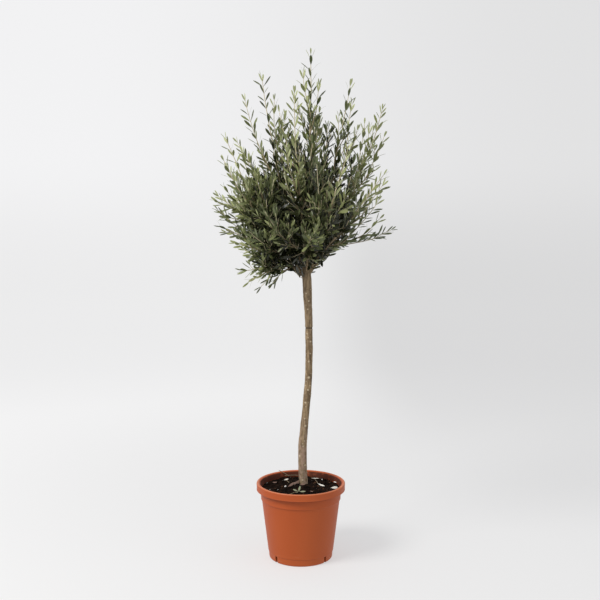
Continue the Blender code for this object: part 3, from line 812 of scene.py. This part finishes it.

# %% [markdown]
# Young olive bark is grey-brown and smooth, drawn into fine upright streaks, with pale breathing pores.
# It is palest low on the stem, and just over the compost it greens with algae. High in the crown the boughs
# are greener than the stem. The marks painted with the relief choose where the knots take their pale colour,
# and where the grooves and the cut ring are darkened as painted shade.

# %% The bark's finish
def olive_bark():
    finish = Finish("olive_bark", Specular_IOR_Level=0.3)
    height = finish.along("Z")
    streak = finish.cloud(150, 5, (1, 1, 0.14), 0.65).between(0.32, 0.68)
    patch = finish.cloud(26, 4, (1, 1, 0.5)).between(0.35, 0.65)
    colour = finish.blend(streak, paint(108, 88, 62), paint(178, 153, 118))
    colour = finish.blend(patch * 0.45, colour, paint(158, 136, 110))
    mottle = finish.cloud(110, 3).between(0.5, 0.62)
    colour = finish.blend(mottle * 0.45, colour, paint(102, 82, 60))
    colour = finish.blend(height.between(0.42, 0.23) * finish.cloud(75, 4).between(0.35, 0.6) * 0.85,
                          colour, paint(188, 160, 140))
    colour = finish.blend(height.between(0.235, 0.205) * finish.cloud(90, 3).between(0.45, 0.6) * 0.5,
                          colour, paint(128, 122, 90))
    colour = finish.blend(height.between(0.74, 0.86) * 0.5, colour, paint(132, 128, 98))
    pores = finish.cells(210, (1, 1, 1.9)).between(0.22, 0.12) * finish.cloud(60, 2).between(0.5, 0.62)
    colour = finish.blend(pores * 0.6, colour, paint(205, 192, 168))
    # Painted shade: the marked grooves and the cut ring are darkened.
    colour = finish.blend(finish.marks("painted_groove_shade") * 0.8, colour, paint(52, 38, 26))
    colour = finish.blend(finish.marks("knot") * 0.85, colour, paint(222, 204, 174))
    finish.feed("Base Color", colour)
    finish.feed("Roughness", 0.88 - streak * 0.14)
    relief = streak * 0.7 + finish.cloud(420, 3, (1, 1, 0.3)) * 0.5 + pores * 0.4
    return finish.bump(relief, 0.0005).material


named(skin, "trunk_and_boughs_bark", olive_bark())
settle(skin, "bark", *LIMB_NODES)

# %% [markdown]
# ## Growing the shoots
#
# An olive shoot carries its leaves in pairs, each pair a quarter turn on from the last, and a side
# shoot can start wherever a leaf sits. The crown grows by that rule in three ranks: the leading shoot of
# each limb, the side shoots up it that turn round it by the golden angle, and the finer twigs on those.
# The side shoots that stand clear of the crown are given their tips by name, because they make its
# outline. Every draw comes from a seeded source, so the tree is the same each time.

# %% A shoot and what can grow on it
GOLDEN_ANGLE = math.radians(137.5)
SWAY_PLACE = 5.3  # where in the noise the twigs' small turns are read


class Shoot:
    """A twig as a line, with its thickness at both ends, its rank and how much of its foot is bare."""

    def __init__(self, line, foot_radius, tip_radius, rank, bare):
        self.line, self.rank, self.bare = line, rank, bare
        self.foot_radius, self.tip_radius = foot_radius, tip_radius
        self.length = sum((stop - start).length for start, stop in zip(line, line[1:]))

    def part(self, share):
        """The two points on either side of a share of the line, and how far between them it lies."""
        along = share * (len(self.line) - 1)
        number = min(int(along), len(self.line) - 2)
        return self.line[number], self.line[number + 1], along - number

    def at(self, share):
        start, stop, rest = self.part(share)
        return start.lerp(stop, rest)

    def heading(self, share):
        start, stop, _ = self.part(share)
        return (stop - start).normalized()

    def radius(self, share):
        return self.foot_radius + (self.tip_radius - self.foot_radius) * share


def across(direction, turn):
    """A direction square to another, turned round it by an angle."""
    side = direction.cross(Vector((0.31, -0.22, 0.93))).normalized()
    return Matrix.Rotation(turn, 3, direction) @ side


def sway(spot):
    """A small turn for each spot, from a noise of its place alone, so that it is the same each time."""
    return Vector([noise.noise(spot + Vector((0, 0, apart))) for apart in (0, 17.3, 41.9)])


def wandering(line, amount, seed):
    """Gives a smooth line the small turns of a real twig, with its foot and tip left in place."""
    last = len(line) - 1
    apart = Vector((seed * 3.7, SWAY_PLACE, 0))
    return [spot + sway(spot * 13 + apart) * amount * 4 * (n / last) * (1 - n / last)
            for n, spot in enumerate(line)]


def crown_share(spot):
    """How far out a spot is: 1 on the crown's surface."""
    out = spot - CROWN_FOOT
    return out.length / reach_at(out.angle(UP, 0))


# %% The rule for side shoots
class Rank:
    """How the side shoots of one rank leave the shoot that carries them.

    They stand a length (every) apart over a span of it, spread from it by some degrees, have a share of
    its remaining length between two sizes, are lifted towards upright, and stop at a share of the
    crown's reach.
    """

    def __init__(self, rank, every, span, spread, share, sizes, lift, radius, bare, reach):
        self.rank, self.every, self.span, self.spread, self.share = rank, every, span, spread, share
        self.sizes, self.lift, self.radius, self.bare, self.reach = sizes, lift, radius, bare, reach


LEADING = Rank(1, 0.080, (0.02, 0.50), (14, 34), (0.72, 0.98), (0.12, 0.36), 0.30, 0.0019, 0.12, (0.70, 0.96))
SIDE = Rank(2, 0.0190, (0.03, 0.75), (20, 42), (0.40, 0.65), (0.05, 0.16), 0.34, 0.0014, 0.06, (0.66, 0.90))
FINE = Rank(3, 0.0180, (0.06, 0.66), (26, 50), (0.36, 0.60), (0.034, 0.085), 0.22, 0.0009, 0.06, (0.60, 0.82))
INNER = Rank(2, 0.0110, (0.10, 0.98), (30, 75), (0.6, 1.1), (0.05, 0.11), 0.30, 0.0010, 0.06, (0.60, 0.80))
SPUR = Rank(3, 0.0160, (0.00, 0.50), (40, 85), (0.2, 0.4), (0.035, 0.07), 0.20, 0.0009, 0.06, (0.60, 0.80))
OPENING = (0, 0.45, 0.93, 0.98)  # how much of each rank is lost in the open top
TWIG_CLIMB = 0.95  # how steeply the crown's underside climbs to the right, for twigs
LEAF_CLIMB = 0.58  # and for leaves, which hang lower
BARE_SPOT = (-0.012, 0.012)  # the middle of the bare place where the lowest boughs part
BARE_RADIUS = 0.048
BARE_TOP = 0.776


# %% Where side shoots may grow
def thickness_at(spot, rank):
    """The chance that a side shoot grows: less in the open top, low down and out to the right."""
    outside = ease((crown_share(spot) - 0.18) / 0.32)
    top = outside * ease((spot.z - 0.90) / 0.14)
    right = outside * ease((spot.x - 0.05) / 0.08) * (0.66 + 0.26 * ease((0.93 - spot.z) / 0.05))
    return (1 - OPENING[rank] * top) * (1 - right) * (0.30 + 0.70 * ease((spot.z - 0.750) / 0.055))


def kept_bare(spot, climb):
    """Whether a spot is in the bare place at the stem's head, or under the side that climbs."""
    beside_head = spot.z < BARE_TOP and math.hypot(spot.x - BARE_SPOT[0], spot.y - BARE_SPOT[1]) < BARE_RADIUS
    return beside_head or spot.x > 0.06 and spot.z < 0.800 + climb * min(spot.x - 0.06, 0.09)


def side_shoots(parent, rule, rng):
    """Grows the side shoots of one rule up a shoot, each a golden angle on from the last."""
    count = max(1, round(parent.length * (rule.span[1] - rule.span[0]) / rule.every))
    turn = rng.uniform(0, 2 * math.pi)
    for n in range(count):
        share = rule.span[0] + (rule.span[1] - rule.span[0]) * (n + rng.uniform(0.2, 0.8)) / count
        turn += GOLDEN_ANGLE
        foot, along = parent.at(share), parent.heading(share)
        spread = math.radians(rng.uniform(*rule.spread))
        heading = along * math.cos(spread) + across(along, turn) * math.sin(spread)
        shortest, longest = rule.sizes
        size = min(longest, max(shortest, parent.length * (1 - share) * rng.uniform(*rule.share)))
        tip = foot + heading.lerp(UP, rule.lift) * size
        limit = rng.uniform(*rule.reach)
        if crown_share(tip) > limit:
            tip = foot.lerp(tip, 0.65)
        if crown_share(tip) > limit + 0.08 or rng.random() > thickness_at(foot, rule.rank):
            continue
        if kept_bare(tip, TWIG_CLIMB):
            continue
        knee = foot + heading * size / 2
        steps = {1: 12, 2: 6, 3: 3}[rule.rank]
        line = wandering(bent(foot, knee, tip, 0, 1, steps), 0.006, rng.uniform(0, 9))
        yield Shoot(line, min(rule.radius, parent.radius(share) * 0.8), 0.0006, rule.rank, rule.bare)


# %% The side shoots that make the outline
# The limb that each grows from, how far up it, and where its tip stands.
OUTLINE_SHOOTS = (
    ("high_left", 0.22, (-0.147, -0.020, 1.225)),
    ("high_left", 0.50, (-0.072, 0.030, 1.235)),
    ("high_left", 0.10, (-0.172, 0.050, 1.122)),
    ("front_tall", 0.45, (-0.056, -0.060, 1.190)),
    ("back_tall", 0.40, (-0.029, 0.110, 1.162)),
    ("top", 0.52, (0.048, -0.006, 1.268)),
    ("top", 0.60, (0.006, -0.022, 1.300)),
    ("top", 0.34, (0.049, 0.030, 1.200)),
    ("high_right", 0.45, (0.100, -0.030, 1.182)),
    ("high_right", 0.30, (0.150, 0.000, 1.150)),
    ("high_right", 0.55, (0.138, 0.020, 1.222)),
    ("right_tall", 0.30, (0.166, -0.055, 1.160)),
    ("right_tall", 0.42, (0.198, 0.060, 1.156)),
    ("right_tall", 0.36, (0.184, 0.000, 1.158)),
    ("right_tall", 0.28, (0.224, 0.020, 1.135)),
    ("left", 0.45, (-0.205, 0.020, 0.998)),
    ("left", 0.55, (-0.226, -0.035, 0.962)),
    ("left", 0.62, (-0.222, 0.035, 0.975)),
    ("left", 0.15, (-0.190, -0.040, 1.045)),
    ("left", 0.30, (-0.218, -0.015, 0.935)),
    ("front_left", 0.20, (-0.196, -0.110, 1.060)),
    ("low_left", 0.12, (-0.170, -0.050, 0.975)),
    ("low_left", 0.35, (-0.208, -0.030, 0.892)),
    ("low_left", 0.05, (-0.130, -0.120, 0.880)),
    ("low_left", 0.15, (-0.168, -0.080, 0.850)),
    ("low_left", 0.20, (-0.176, 0.050, 0.866)),
    ("low_left", 0.45, (-0.214, 0.020, 0.930)),
    ("left", 0.08, (-0.176, 0.070, 0.960)),
    ("drooping_left", 0.10, (-0.150, -0.010, 0.830)),
    ("low_front", 0.10, (-0.090, -0.160, 0.930)),
    ("low_back", 0.40, (0.048, 0.224, 0.890)),
    ("low_back", 0.15, (-0.030, 0.208, 0.945)),
    ("right", 0.25, (0.222, -0.030, 1.014)),
    ("right", 0.10, (0.188, 0.020, 0.985)),
    ("low_right", 0.30, (0.204, -0.040, 0.962)),
    ("low_right", 0.45, (0.238, -0.030, 0.884)),
    ("low_right", 0.62, (0.215, 0.045, 0.915)),
    ("drooping_left", 0.30, (-0.074, -0.026, 0.744)),
    ("drooping_left", 0.50, (-0.150, -0.060, 0.778)),
    ("drooping_left", 0.65, (-0.134, -0.080, 0.750)),
)
print(len(OUTLINE_SHOOTS), "side shoots make the outline")

# %% Grow the crown
TIP_STRETCH = (0.014, 0.028)  # how far two more points carry on past the end of a limb's curve
TOP_STRETCH = (0.019, 0.038)


def leading_shoots():
    """The shoot at the end of each limb, by the limb's name."""
    shoots = {}
    for number, name in enumerate([*LIMBS, "top"]):
        start = 0 if name == "top" else BOUGH_SHARE
        line = wandering(limb_line(name, start, 1, 20), 0.010, number)
        ahead = (line[-1] - line[-2]).normalized()
        stretches = TOP_STRETCH if name == "top" else TIP_STRETCH
        line += [line[-1] + ahead * stretch for stretch in stretches]
        foot_radius = LEADER_RADIUS if name == "top" else BOUGH_TIP_RADIUS
        shoots[name] = Shoot(line, foot_radius, 0.0007, 1, 0.22)
    return shoots


def outline_shoot(leaders, name, share, tip):
    """A shoot from a share of the way up a leading shoot to a tip that is given."""
    parent, tip = leaders[name], Vector(tip)
    foot = parent.at(share)
    spread = Vector((tip.x - foot.x, tip.y - foot.y, 0))
    knee = foot + spread * 0.6 + UP * (tip.z - foot.z) * 0.35
    line = wandering(bent(foot, knee, tip, 0, 1, 14), 0.006, share * 9)
    return Shoot(line, min(0.0019, parent.radius(share) * 0.85), 0.0007, 1, 0.18)


def grow_crown():
    leaders = leading_shoots()
    shoots = list(leaders.values()) + [outline_shoot(leaders, *sizes) for sizes in OUTLINE_SHOOTS]
    for number, leader in enumerate(leaders.values()):
        shoots += side_shoots(leader, LEADING, random.Random(number))
    for number, shoot in enumerate(list(shoots)):
        rng = random.Random(100 + number)
        for side in side_shoots(shoot, SIDE, rng):
            shoots.append(side)
            shoots += side_shoots(side, FINE, rng)
        shoots += side_shoots(shoot, SPUR, rng)
    wood = [limb_line(name, 0, BOUGH_SHARE, 8) for name in LIMBS]
    wood.append([spot for spot in TRUNK if spot.z > 0.775])
    for number, line in enumerate(wood):
        rng = random.Random(300 + number)
        for side in side_shoots(Shoot(line, 0.005, 0.0026, 0, 1), INNER, rng):
            shoots.append(side)
            shoots += side_shoots(side, FINE, rng)
    return shoots


shoots = grow_crown()
for rank in (1, 2, 3):
    chosen = [shoot for shoot in shoots if shoot.rank == rank]
    print(f"rank {rank}: {len(chosen)} shoots, {sum(shoot.length for shoot in chosen):.1f} m in all")

# %% [markdown]
# Twigs are thin tubes, so few sides will do. Each is swept along its line by arrays, with a frame that
# is carried from ring to ring so that the tube doesn't twist, and closed at both ends by a point. Old
# twigs are grey-brown and the last growth is pale, so there are two pieces.

# %% Sweeping the twigs
def swept(line, radii, sides):
    """The corners and faces of a closed thin tube."""
    spots, faces = [line[0]], []
    side = across((line[1] - line[0]).normalized(), 0)
    for n, (spot, radius) in enumerate(zip(line, radii)):
        ahead = line[min(n + 1, len(line) - 1)] - line[max(n - 1, 0)]
        along = ahead.normalized()
        side = (side - along * side.dot(along)).normalized()
        other = along.cross(side)
        for k in range(sides):
            turn = 2 * math.pi * k / sides
            spots.append(spot + (side * math.cos(turn) + other * math.sin(turn)) * radius)
    spots.append(line[-1] + (line[-1] - line[-2]).normalized() * radii[-1])
    for k in range(sides):
        after = (k + 1) % sides
        faces.append((0, 1 + after, 1 + k))
        for n in range(len(line) - 1):
            low, high = 1 + n * sides, 1 + (n + 1) * sides
            faces.append((low + k, low + after, high + after, high + k))
        top = 1 + (len(line) - 1) * sides
        faces.append((top + k, top + after, len(spots) - 1))
    return spots, faces


def joined(name, parts):
    """One mesh object of many sets of corners and faces."""
    corners, faces = [], []
    for spots, sheets in parts:
        start = len(corners)
        corners += spots
        faces += [[start + corner for corner in sheet] for sheet in sheets]
    mesh = bpy.data.meshes.new(name)
    mesh.from_pydata(corners, [], faces)
    mesh.shade_smooth()
    return placed(name, mesh)


def twig_parts(chosen, sides, first, last):
    """Tubes for the shoots, each between two shares of its length."""
    for shoot in chosen:
        count = len(shoot.line) - 1
        low, high = round(first * count), round(last * count)
        line = shoot.line[low:high + 1]
        yield swept(line, [shoot.radius(n / count) for n in range(low, high + 1)], sides)


# %% Old twigs and young twigs
def twig_finish(name, colour):
    return Finish(name, Base_Color=colour, Roughness=0.7, Specular_IOR_Level=0.3).material


def make_twigs():
    leaders, sides, fine = ([shoot for shoot in shoots if shoot.rank == rank] for rank in (1, 2, 3))
    old = joined("twigs_old", [*twig_parts(leaders, 6, 0, 0.5), *twig_parts(sides, 5, 0, 0.5)])
    young = joined("twigs_young", [*twig_parts(leaders, 6, 0.5, 1), *twig_parts(sides, 5, 0.5, 1),
                                   *twig_parts(fine, 4, 0, 1)])
    old_finish = twig_finish("old_twig", paint(164, 146, 116))
    young_finish = twig_finish("young_twig", paint(212, 200, 166))
    settle(named(old, "twigs_old", old_finish), "bark", *MASSES)
    settle(named(young, "twigs_young", young_finish), "bark", *MASSES)


make_twigs()

# %% [markdown]
# ## The leaves
#
# An olive leaf is a narrow leathery blade on a very short stalk, dark above, silvery beneath, folded a
# little along its midrib. Thousands of them are copied, so the one blade has only a few dozen faces. It
# starts as a ring of four corners, its two edges, its midrib above and its rib below, and is pulled up
# through the leaf's outline. The upper and lower faces take their own finish.

# %% Model one leaf
LEAF_STOPS = ((0.09, 0.10), (0.32, 0.66), (0.60, 1.0), (0.85, 0.72))  # share of length, of width
FOLD = 0.10  # how deep the fold is, as a share of the width


def leaf_pattern():
    bpy.ops.mesh.primitive_circle_add(vertices=4, radius=0.5, fill_type="NGON")
    leaf = bpy.context.object
    bpy.ops.object.mode_set(mode="EDIT")
    bpy.ops.transform.resize(value=(0.10, 0.7, 1))
    width, height = 0.10, 0.0
    for share, wide in LEAF_STOPS:
        bpy.ops.mesh.extrude_region_move(TRANSFORM_OT_translate={"value": (0, 0, share - height)})
        bpy.ops.transform.resize(value=(wide / width, 1, 1))
        width, height = wide, share
    bpy.ops.mesh.extrude_region_move(TRANSFORM_OT_translate={"value": (0, 0, 1 - height)})
    bpy.ops.mesh.merge(type="CENTER")
    pick(lambda spot: spot.co.z < 0.001)
    bpy.ops.mesh.edge_face_add()
    bpy.ops.mesh.select_all(action="SELECT")
    bpy.ops.mesh.normals_make_consistent(inside=False)
    bpy.ops.object.mode_set(mode="OBJECT")
    for face in leaf.data.polygons:
        face.material_index = 0 if face.normal.y > 0 else 1
    return Pattern(leaf)


leaf = leaf_pattern()
print("a leaf has", len(leaf.faces), "faces and", len(leaf.corners), "corners")

# %% [markdown]
# Each leaf's upper side faces the tip of its shoot. Near the foot of a shoot the leaves stand wide and
# full-grown, and at its tip they are small, pale and nearly upright. The tint is chosen for the whole spray,
# by where in the crown it grew, so that no leaf needs a pattern of its own. Sprays far inside the crown take
# the darkest tint as painted shade, and low down the sprays are made paler on the left as painted light and
# darker elsewhere as painted shade.

# %% Set the leaves on their shoots
LEAF_LENGTH = 0.0362
LEAF_WIDTH = 0.0083
LEAF_THICK = 0.0005
PAIR_GAP = {1: 0.0160, 2: 0.0160, 3: 0.0150}
TIP_ANGLES = (15, 24)  # how far the last pair and the one before it stand off the shoot, in degrees
LEAF_ANGLES = (26, 46)  # and all others
LEAF_ROUGHNESS = (0.32, 0.55)  # the upper side and the lower side
PAIR_SIZES = (0.65, 0.85, 0.97)  # the last pair, the one before it and all others


class Limbs:
    """The trunk and boughs, to keep the leaves out of them."""

    def __init__(self):
        spots = [(spot, trunk_radius(spot.z)) for spot in TRUNK]
        for name in LIMBS:
            line = limb_line(name, 0, BOUGH_SHARE, 16)
            spots += [(spot, bough_radius(name, n / 16)) for n, spot in enumerate(line)]
        self.radii = [radius for _, radius in spots]
        self.tree = looked_up([spot for spot, _ in spots])

    def clear(self, spot):
        _, number, away = self.tree.find(spot)
        return away > self.radii[number] + 0.002


def leaf_turn(along, face):
    """The turn that lays a blade along one direction with its upper side towards another."""
    side = face.cross(along).normalized()
    return np.array((side, along.cross(side).normalized(), along)).T


def leaves_on(shoot, limbs, rng):
    """Every leaf of a shoot, as (share up it, pairs from its tip, turn, foot, length, bow)."""
    pairs = max(1, round(shoot.length * (1 - shoot.bare) / PAIR_GAP[shoot.rank]))
    quarter = rng.uniform(0, math.pi)
    for n in range(pairs + 1):
        share = min(0.995, shoot.bare + (1 - shoot.bare) * n / pairs)
        from_tip = pairs - n
        angle = math.radians(TIP_ANGLES[from_tip] if from_tip < 2 else rng.uniform(*LEAF_ANGLES))
        size = LEAF_LENGTH * PAIR_SIZES[min(2, from_tip)] * rng.uniform(0.80, 1.08)
        along = shoot.heading(share)
        for half in (0, math.pi):
            turn = quarter + half + rng.uniform(-0.3, 0.3)
            heading = along * math.cos(angle) + across(along, turn) * math.sin(angle)
            face = along - heading * along.dot(heading)
            face = Matrix.Rotation(rng.uniform(-0.45, 0.45), 3, heading) @ face
            foot = shoot.at(share)
            tip = foot + heading * size
            free = limbs.clear(tip) and limbs.clear(foot.lerp(tip, 0.5))
            if free and not kept_bare(tip, LEAF_CLIMB):
                yield share, from_tip, leaf_turn(heading, face), foot, size, rng.uniform(-0.05, 0.14)
        quarter += math.pi / 2


# %% Tints, dealt out by spray
# The upper and the lower side of each tint.
TINTS = {
    # The darkest tint is painted shade, for sprays far inside the crown.
    "shaded": (paint(38, 42, 20), paint(74, 78, 52)),
    "grey": (paint(98, 106, 70), paint(160, 166, 138)),
    "olive": (paint(128, 135, 90), paint(184, 188, 156)),
    "fresh": (paint(156, 163, 110), paint(196, 199, 164)),
    "tip": (paint(176, 182, 134), paint(204, 206, 172)),
}
NEW_GROWTH = 0.10  # the share of sprays that are pale wherever they grow
SHADED, GREY, OLIVE = 0.58, 0.76, 1.02  # a spray whose draw is under one of these takes that tint
MOST_LEAVES = 4500  # in one piece


def spray_tint(shoot, rng):
    """Far inside the crown the sprays are painted dark as painted shade, and further out and up more of them
    are pale.

    Low on the left they are painted pale as painted light, and low everywhere else darker as painted shade.
    """
    spot = shoot.at(0.6)
    draw = crown_share(spot) + rng.gauss(0, 0.25) + 0.12 * ease((spot.z - 0.90) / 0.10)
    # Low on the left the sprays are made paler as painted light; low elsewhere they are made darker as
    # painted shade.
    if spot.x < -0.08:
        draw += 0.35 * ease((0.81 - spot.z) / 0.04)
    else:
        draw -= 0.2 * ease((0.90 - spot.z) / 0.10)
    if rng.random() < NEW_GROWTH or draw > OLIVE:
        return "fresh"
    # The darkest tint is painted shade, for sprays far inside the crown.
    if draw < SHADED and shoot.rank > 1 and crown_share(spot) < 0.78:
        return "shaded"
    return "grey" if draw < GREY else "olive"


def leaf_finish(name, colour, roughness):
    return Finish(name, Base_Color=colour, Roughness=roughness, Specular_IOR_Level=0.42).material


def dealt_leaves():
    """Every leaf of the crown as (turn, foot, size, bow), by its tint."""
    rng, limbs = random.Random(7), Limbs()
    sprays = {name: [] for name in TINTS}
    for shoot in shoots:
        tint = spray_tint(shoot, rng)
        outer = crown_share(shoot.line[-1]) > 0.72 and shoot.rank < 3 and shoot.line[-1].z > 0.94
        for share, from_tip, turn, foot, size, bow in leaves_on(shoot, limbs, rng):
            young = outer and from_tip < 2 and shoot.length * (1 - share) < 0.04
            width = LEAF_WIDTH * size / LEAF_LENGTH * rng.uniform(0.85, 1.1)
            sprays["tip" if young else tint].append((turn, foot, (width, LEAF_THICK, size), bow))
    return sprays


# %% Make the leaf pieces
def make_leaves():
    for tint, leaves in dealt_leaves().items():
        print(len(leaves), tint, "leaves")
        finishes = [leaf_finish(f"{tint}_leaf_{side}", colour, roughness)
                    for side, colour, roughness in zip(("upper", "lower"), TINTS[tint], LEAF_ROUGHNESS)]
        pieces = math.ceil(len(leaves) / MOST_LEAVES)
        for number in range(pieces):
            name = f"leaves_{tint}_{number + 1}"
            piece = leaf.copied(name, *zip(*leaves[number::pieces]))
            settle(named(piece, name, *finishes), "foliage", *MASSES)


make_leaves()

# %% [markdown]
# ## Litter on the compost
#
# The compost under a living tree is never clean. Leaves that have dropped lie on it, some bleached and
# some brown and curled, with bits of straw and stones of perlite between them. The dropped leaves are
# the crown's own blade again, set down by the places of their two ends.

# %% Where each piece lies
# For a dropped leaf: the (x, y) of its foot and of its tip, its width, and how far its tip curls up.
BLEACHED = (
    ((0.0460, 0.0200), (0.0650, -0.0120), 0.0062, 0.10),
    ((0.0800, -0.0160), (0.1000, -0.0070), 0.0085, 0.04),
    ((-0.0480, 0.0530), (-0.0350, 0.0660), 0.0050, 0.10),
    ((0.0900, 0.0490), (0.1010, 0.0400), 0.0050, 0.05),
    ((0.0280, 0.0760), (0.0520, 0.0660), 0.0026, 0.05),
)
WITHERED = (
    ((-0.0350, -0.0100), (-0.0200, 0.0060), 0.0070, 0.30),
    ((-0.0260, 0.0020), (-0.0120, 0.0120), 0.0075, 0.35),
    ((-0.0180, 0.0060), (-0.0050, 0.0240), 0.0070, 0.30),
    ((-0.0100, 0.0180), (-0.0030, 0.0010), 0.0065, 0.25),
    ((-0.0040, 0.0020), (0.0120, 0.0010), 0.0060, 0.20),
    ((-0.0800, 0.0420), (-0.0640, 0.0300), 0.0050, 0.20),
    ((0.0240, -0.0420), (0.0340, -0.0560), 0.0045, 0.15),
)
FALLEN = (
    ((-0.0060, -0.0460), (-0.0030, -0.0230), 0.0056, 0.30),
    ((-0.0060, -0.0460), (0.0130, -0.0480), 0.0048, 0.20),
    ((-0.0060, -0.0460), (-0.0210, -0.0340), 0.0046, 0.10),
    ((-0.0060, -0.0460), (-0.0140, -0.0600), 0.0042, 0.10),
)
# For a straw: (x, y, height over the compost) along it.
STRAWS = (
    ((-0.0450, 0.0935, 0.004), (-0.0260, 0.1000, 0.006), (-0.0070, 0.1030, 0.005)),
    ((-0.0424, 0.0505, 0.003), (-0.0380, 0.0350, 0.006), (-0.0320, 0.0190, 0.003)),
    ((0.0370, 0.0520, 0.003), (0.0420, 0.0360, 0.006), (0.0460, 0.0200, 0.003)),
    ((-0.0060, -0.0480, 0.003), (-0.0170, -0.0620, 0.006), (-0.0285, -0.0730, 0.003)),
    ((-0.0330, 0.0920, 0.004), (-0.0480, 0.0960, 0.012), (-0.0620, 0.0985, 0.0205)),
)
# For a stone: (x, y, its size).
STONES = (
    (-0.0410, -0.0049, 0.0085),
    (0.0591, 0.0602, 0.0062),
    (-0.0934, 0.0410, 0.0024),
    (-0.0830, -0.0194, 0.0028),
    (-0.0613, -0.0240, 0.0026),
    (0.0778, -0.0419, 0.0028),
    (0.0451, -0.0768, 0.0026),
    (0.0057, -0.0751, 0.0034),
)
STRAW_RADIUS = 0.0008
DRY_THICK = 0.0009  # a dropped leaf is thicker than a fresh one, because it has curled
DRY_FACE = Vector((0.1, -0.6, 0.8))  # the side that its upper face is turned to


def on_compost(x, y, over=0.0025):
    """A spot a little way over the compost."""
    return Vector((x, y, soil_height(x, y) + over))


def lay_leaves(name, leaves, colour):
    """Lays the crown's blade between the places that are given, in one dry colour."""
    turns, feet, sizes, bows = [], [], [], []
    for foot, tip, width, curl in leaves:
        foot, tip = on_compost(*foot), on_compost(*tip)
        turns.append(leaf_turn((tip - foot).normalized(), DRY_FACE))
        feet.append(foot)
        sizes.append((width, DRY_THICK, (tip - foot).length))
        bows.append(-curl)
    finish = leaf_finish(name, colour, 0.7)
    settle(named(leaf.copied(name, turns, feet, sizes, bows), name, finish, finish), "compost")


# %% Lay the leaves, the straws and the stones
def lay_straws():
    tubes = []
    for spots in STRAWS:
        line = bent(*[on_compost(*spot) for spot in spots], 0, 1, 6)
        tubes.append(swept(line, [STRAW_RADIUS] * len(line), 5))
    settle(named(joined("straws", tubes), "straws", twig_finish("straw", paint(150, 134, 108))), "compost")


def lay_stones():
    rng = random.Random(12)
    spots = [on_compost(x, y, size * 0.2) for x, y, size in STONES]
    sizes = [(size, size * 0.8, size * 0.7) for _, _, size in STONES]
    stones = crumb_pattern(9).copied("perlite_stones", [tumbled(rng) for _ in STONES], spots, sizes)
    settle(named(stones, "perlite_stones", twig_finish("white_stone", paint(246, 244, 238))), "compost")


lay_leaves("leaves_bleached", BLEACHED, paint(244, 241, 230))
lay_leaves("leaves_withered", WITHERED, paint(120, 94, 82))
lay_leaves("leaves_fallen", FALLEN, paint(150, 154, 124))
lay_straws()
lay_stones()
print(len(BLEACHED + WITHERED + FALLEN), "dropped leaves,", len(STRAWS), "straws and", len(STONES), "stones")

# %% [markdown]
# ## Floor, light and camera
#
# The tree stands in a shallow bowl of pale paper, so that every side of it is seen against the same
# plain ground. One large soft light stands high to the left and in front, a weaker one fills the right,
# and a pale sky does the rest. None of this is part of the tree.

# %% The bowl
# Its outline, as (radius, height).
BOWL = ((3.4, 0), (3.9, 0.03), (4.4, 0.14), (4.9, 0.42), (5.3, 0.95), (5.5, 1.7), (5.6, 2.6), (5.6, 4.2))


def pale_paper():
    """Paper with a glow of its own, so that it stays pale: dimmer at the right and under the tree."""
    finish = Finish("pale_paper", Base_Color=(0.40, 0.40, 0.40, 1), Roughness=0.9, Specular_IOR_Level=0.1)
    wall = finish.blend(finish.along("X").between(-2.2, 2.6), (0.65, 0.65, 0.66, 1), (0.515, 0.515, 0.52, 1))
    foot = finish.blend(finish.along("X").between(-0.1, 0.7), (0.585, 0.585, 0.59, 1), (0.45, 0.45, 0.455, 1))
    glow = finish.blend(finish.along("Z").between(0.5, 1.6), foot, wall)
    glow = finish.blend(finish.around().between(0.5, 2.4), (0.48, 0.48, 0.485, 1), glow)
    return finish.feed("Emission Color", glow).feed("Emission Strength", 1).material


def make_bowl():
    bpy.ops.mesh.primitive_circle_add(vertices=96, radius=BOWL[0][0], fill_type="NGON")
    bowl = bpy.context.object
    bpy.ops.object.mode_set(mode="EDIT")
    bpy.ops.mesh.region_to_loop()
    pull_through(BOWL)
    bpy.ops.object.mode_set(mode="OBJECT")
    bpy.ops.object.shade_smooth()
    return named(bowl, "paper_bowl", pale_paper())


bowl = make_bowl()
bowl.visible_diffuse = False  # the sky lights the tree from all round instead
bowl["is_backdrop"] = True

# %% Lights and sky
def soft_light(name, spot, aim, size, power, colour=(1, 1, 1)):
    bpy.ops.object.light_add(type="AREA", location=spot)
    light = bpy.context.object
    light.name = name
    light.rotation_euler = (Vector(aim) - Vector(spot)).to_track_quat("-Z", "Y").to_euler()
    light.data.shape = "DISK"
    light.data.size, light.data.energy, light.data.color = size, power, colour


AIM = (0, 0, 0.7)
soft_light("key", (-2.2, -1.6, 2.9), AIM, size=1.6, power=85, colour=(1, 0.985, 0.96))
soft_light("fill", (2.4, -1.2, 1.8), AIM, size=1.8, power=5)
world = bpy.context.scene.world or bpy.data.worlds.new("sky")
bpy.context.scene.world = world
world.use_nodes = True
world.node_tree.nodes["Background"].inputs["Color"].default_value = (1, 1, 1, 1)
world.node_tree.nodes["Background"].inputs["Strength"].default_value = 0.5
bpy.context.scene.view_settings.view_transform = "Standard"

# %% Camera
CAMERA_SPOT = (-0.0022, -2.2848, 0.870)
CAMERA_DIP = 2.17  # degrees under the horizon
bpy.ops.object.camera_add(location=CAMERA_SPOT, rotation=(math.radians(90 - CAMERA_DIP), 0, 0))
camera = bpy.context.object
camera.data.sensor_width, camera.data.lens = 36, 51.0
camera.data.shift_y = -0.0538
bpy.context.scene.camera = camera
print(f"the camera stands {abs(CAMERA_SPOT[1]):.2f} m in front of the tree")

# %% [markdown]
# ## Measure and finish
#
# The dressed tree has to stay as large as its frame. Both boxes are written down side by side.

# %% Write both boxes
dressed_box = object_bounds()
for name, (low, high) in (("frame", frame_box), ("dressed", dressed_box)):
    print(name, [round(size, 4) for size in low], [round(size, 4) for size in high])
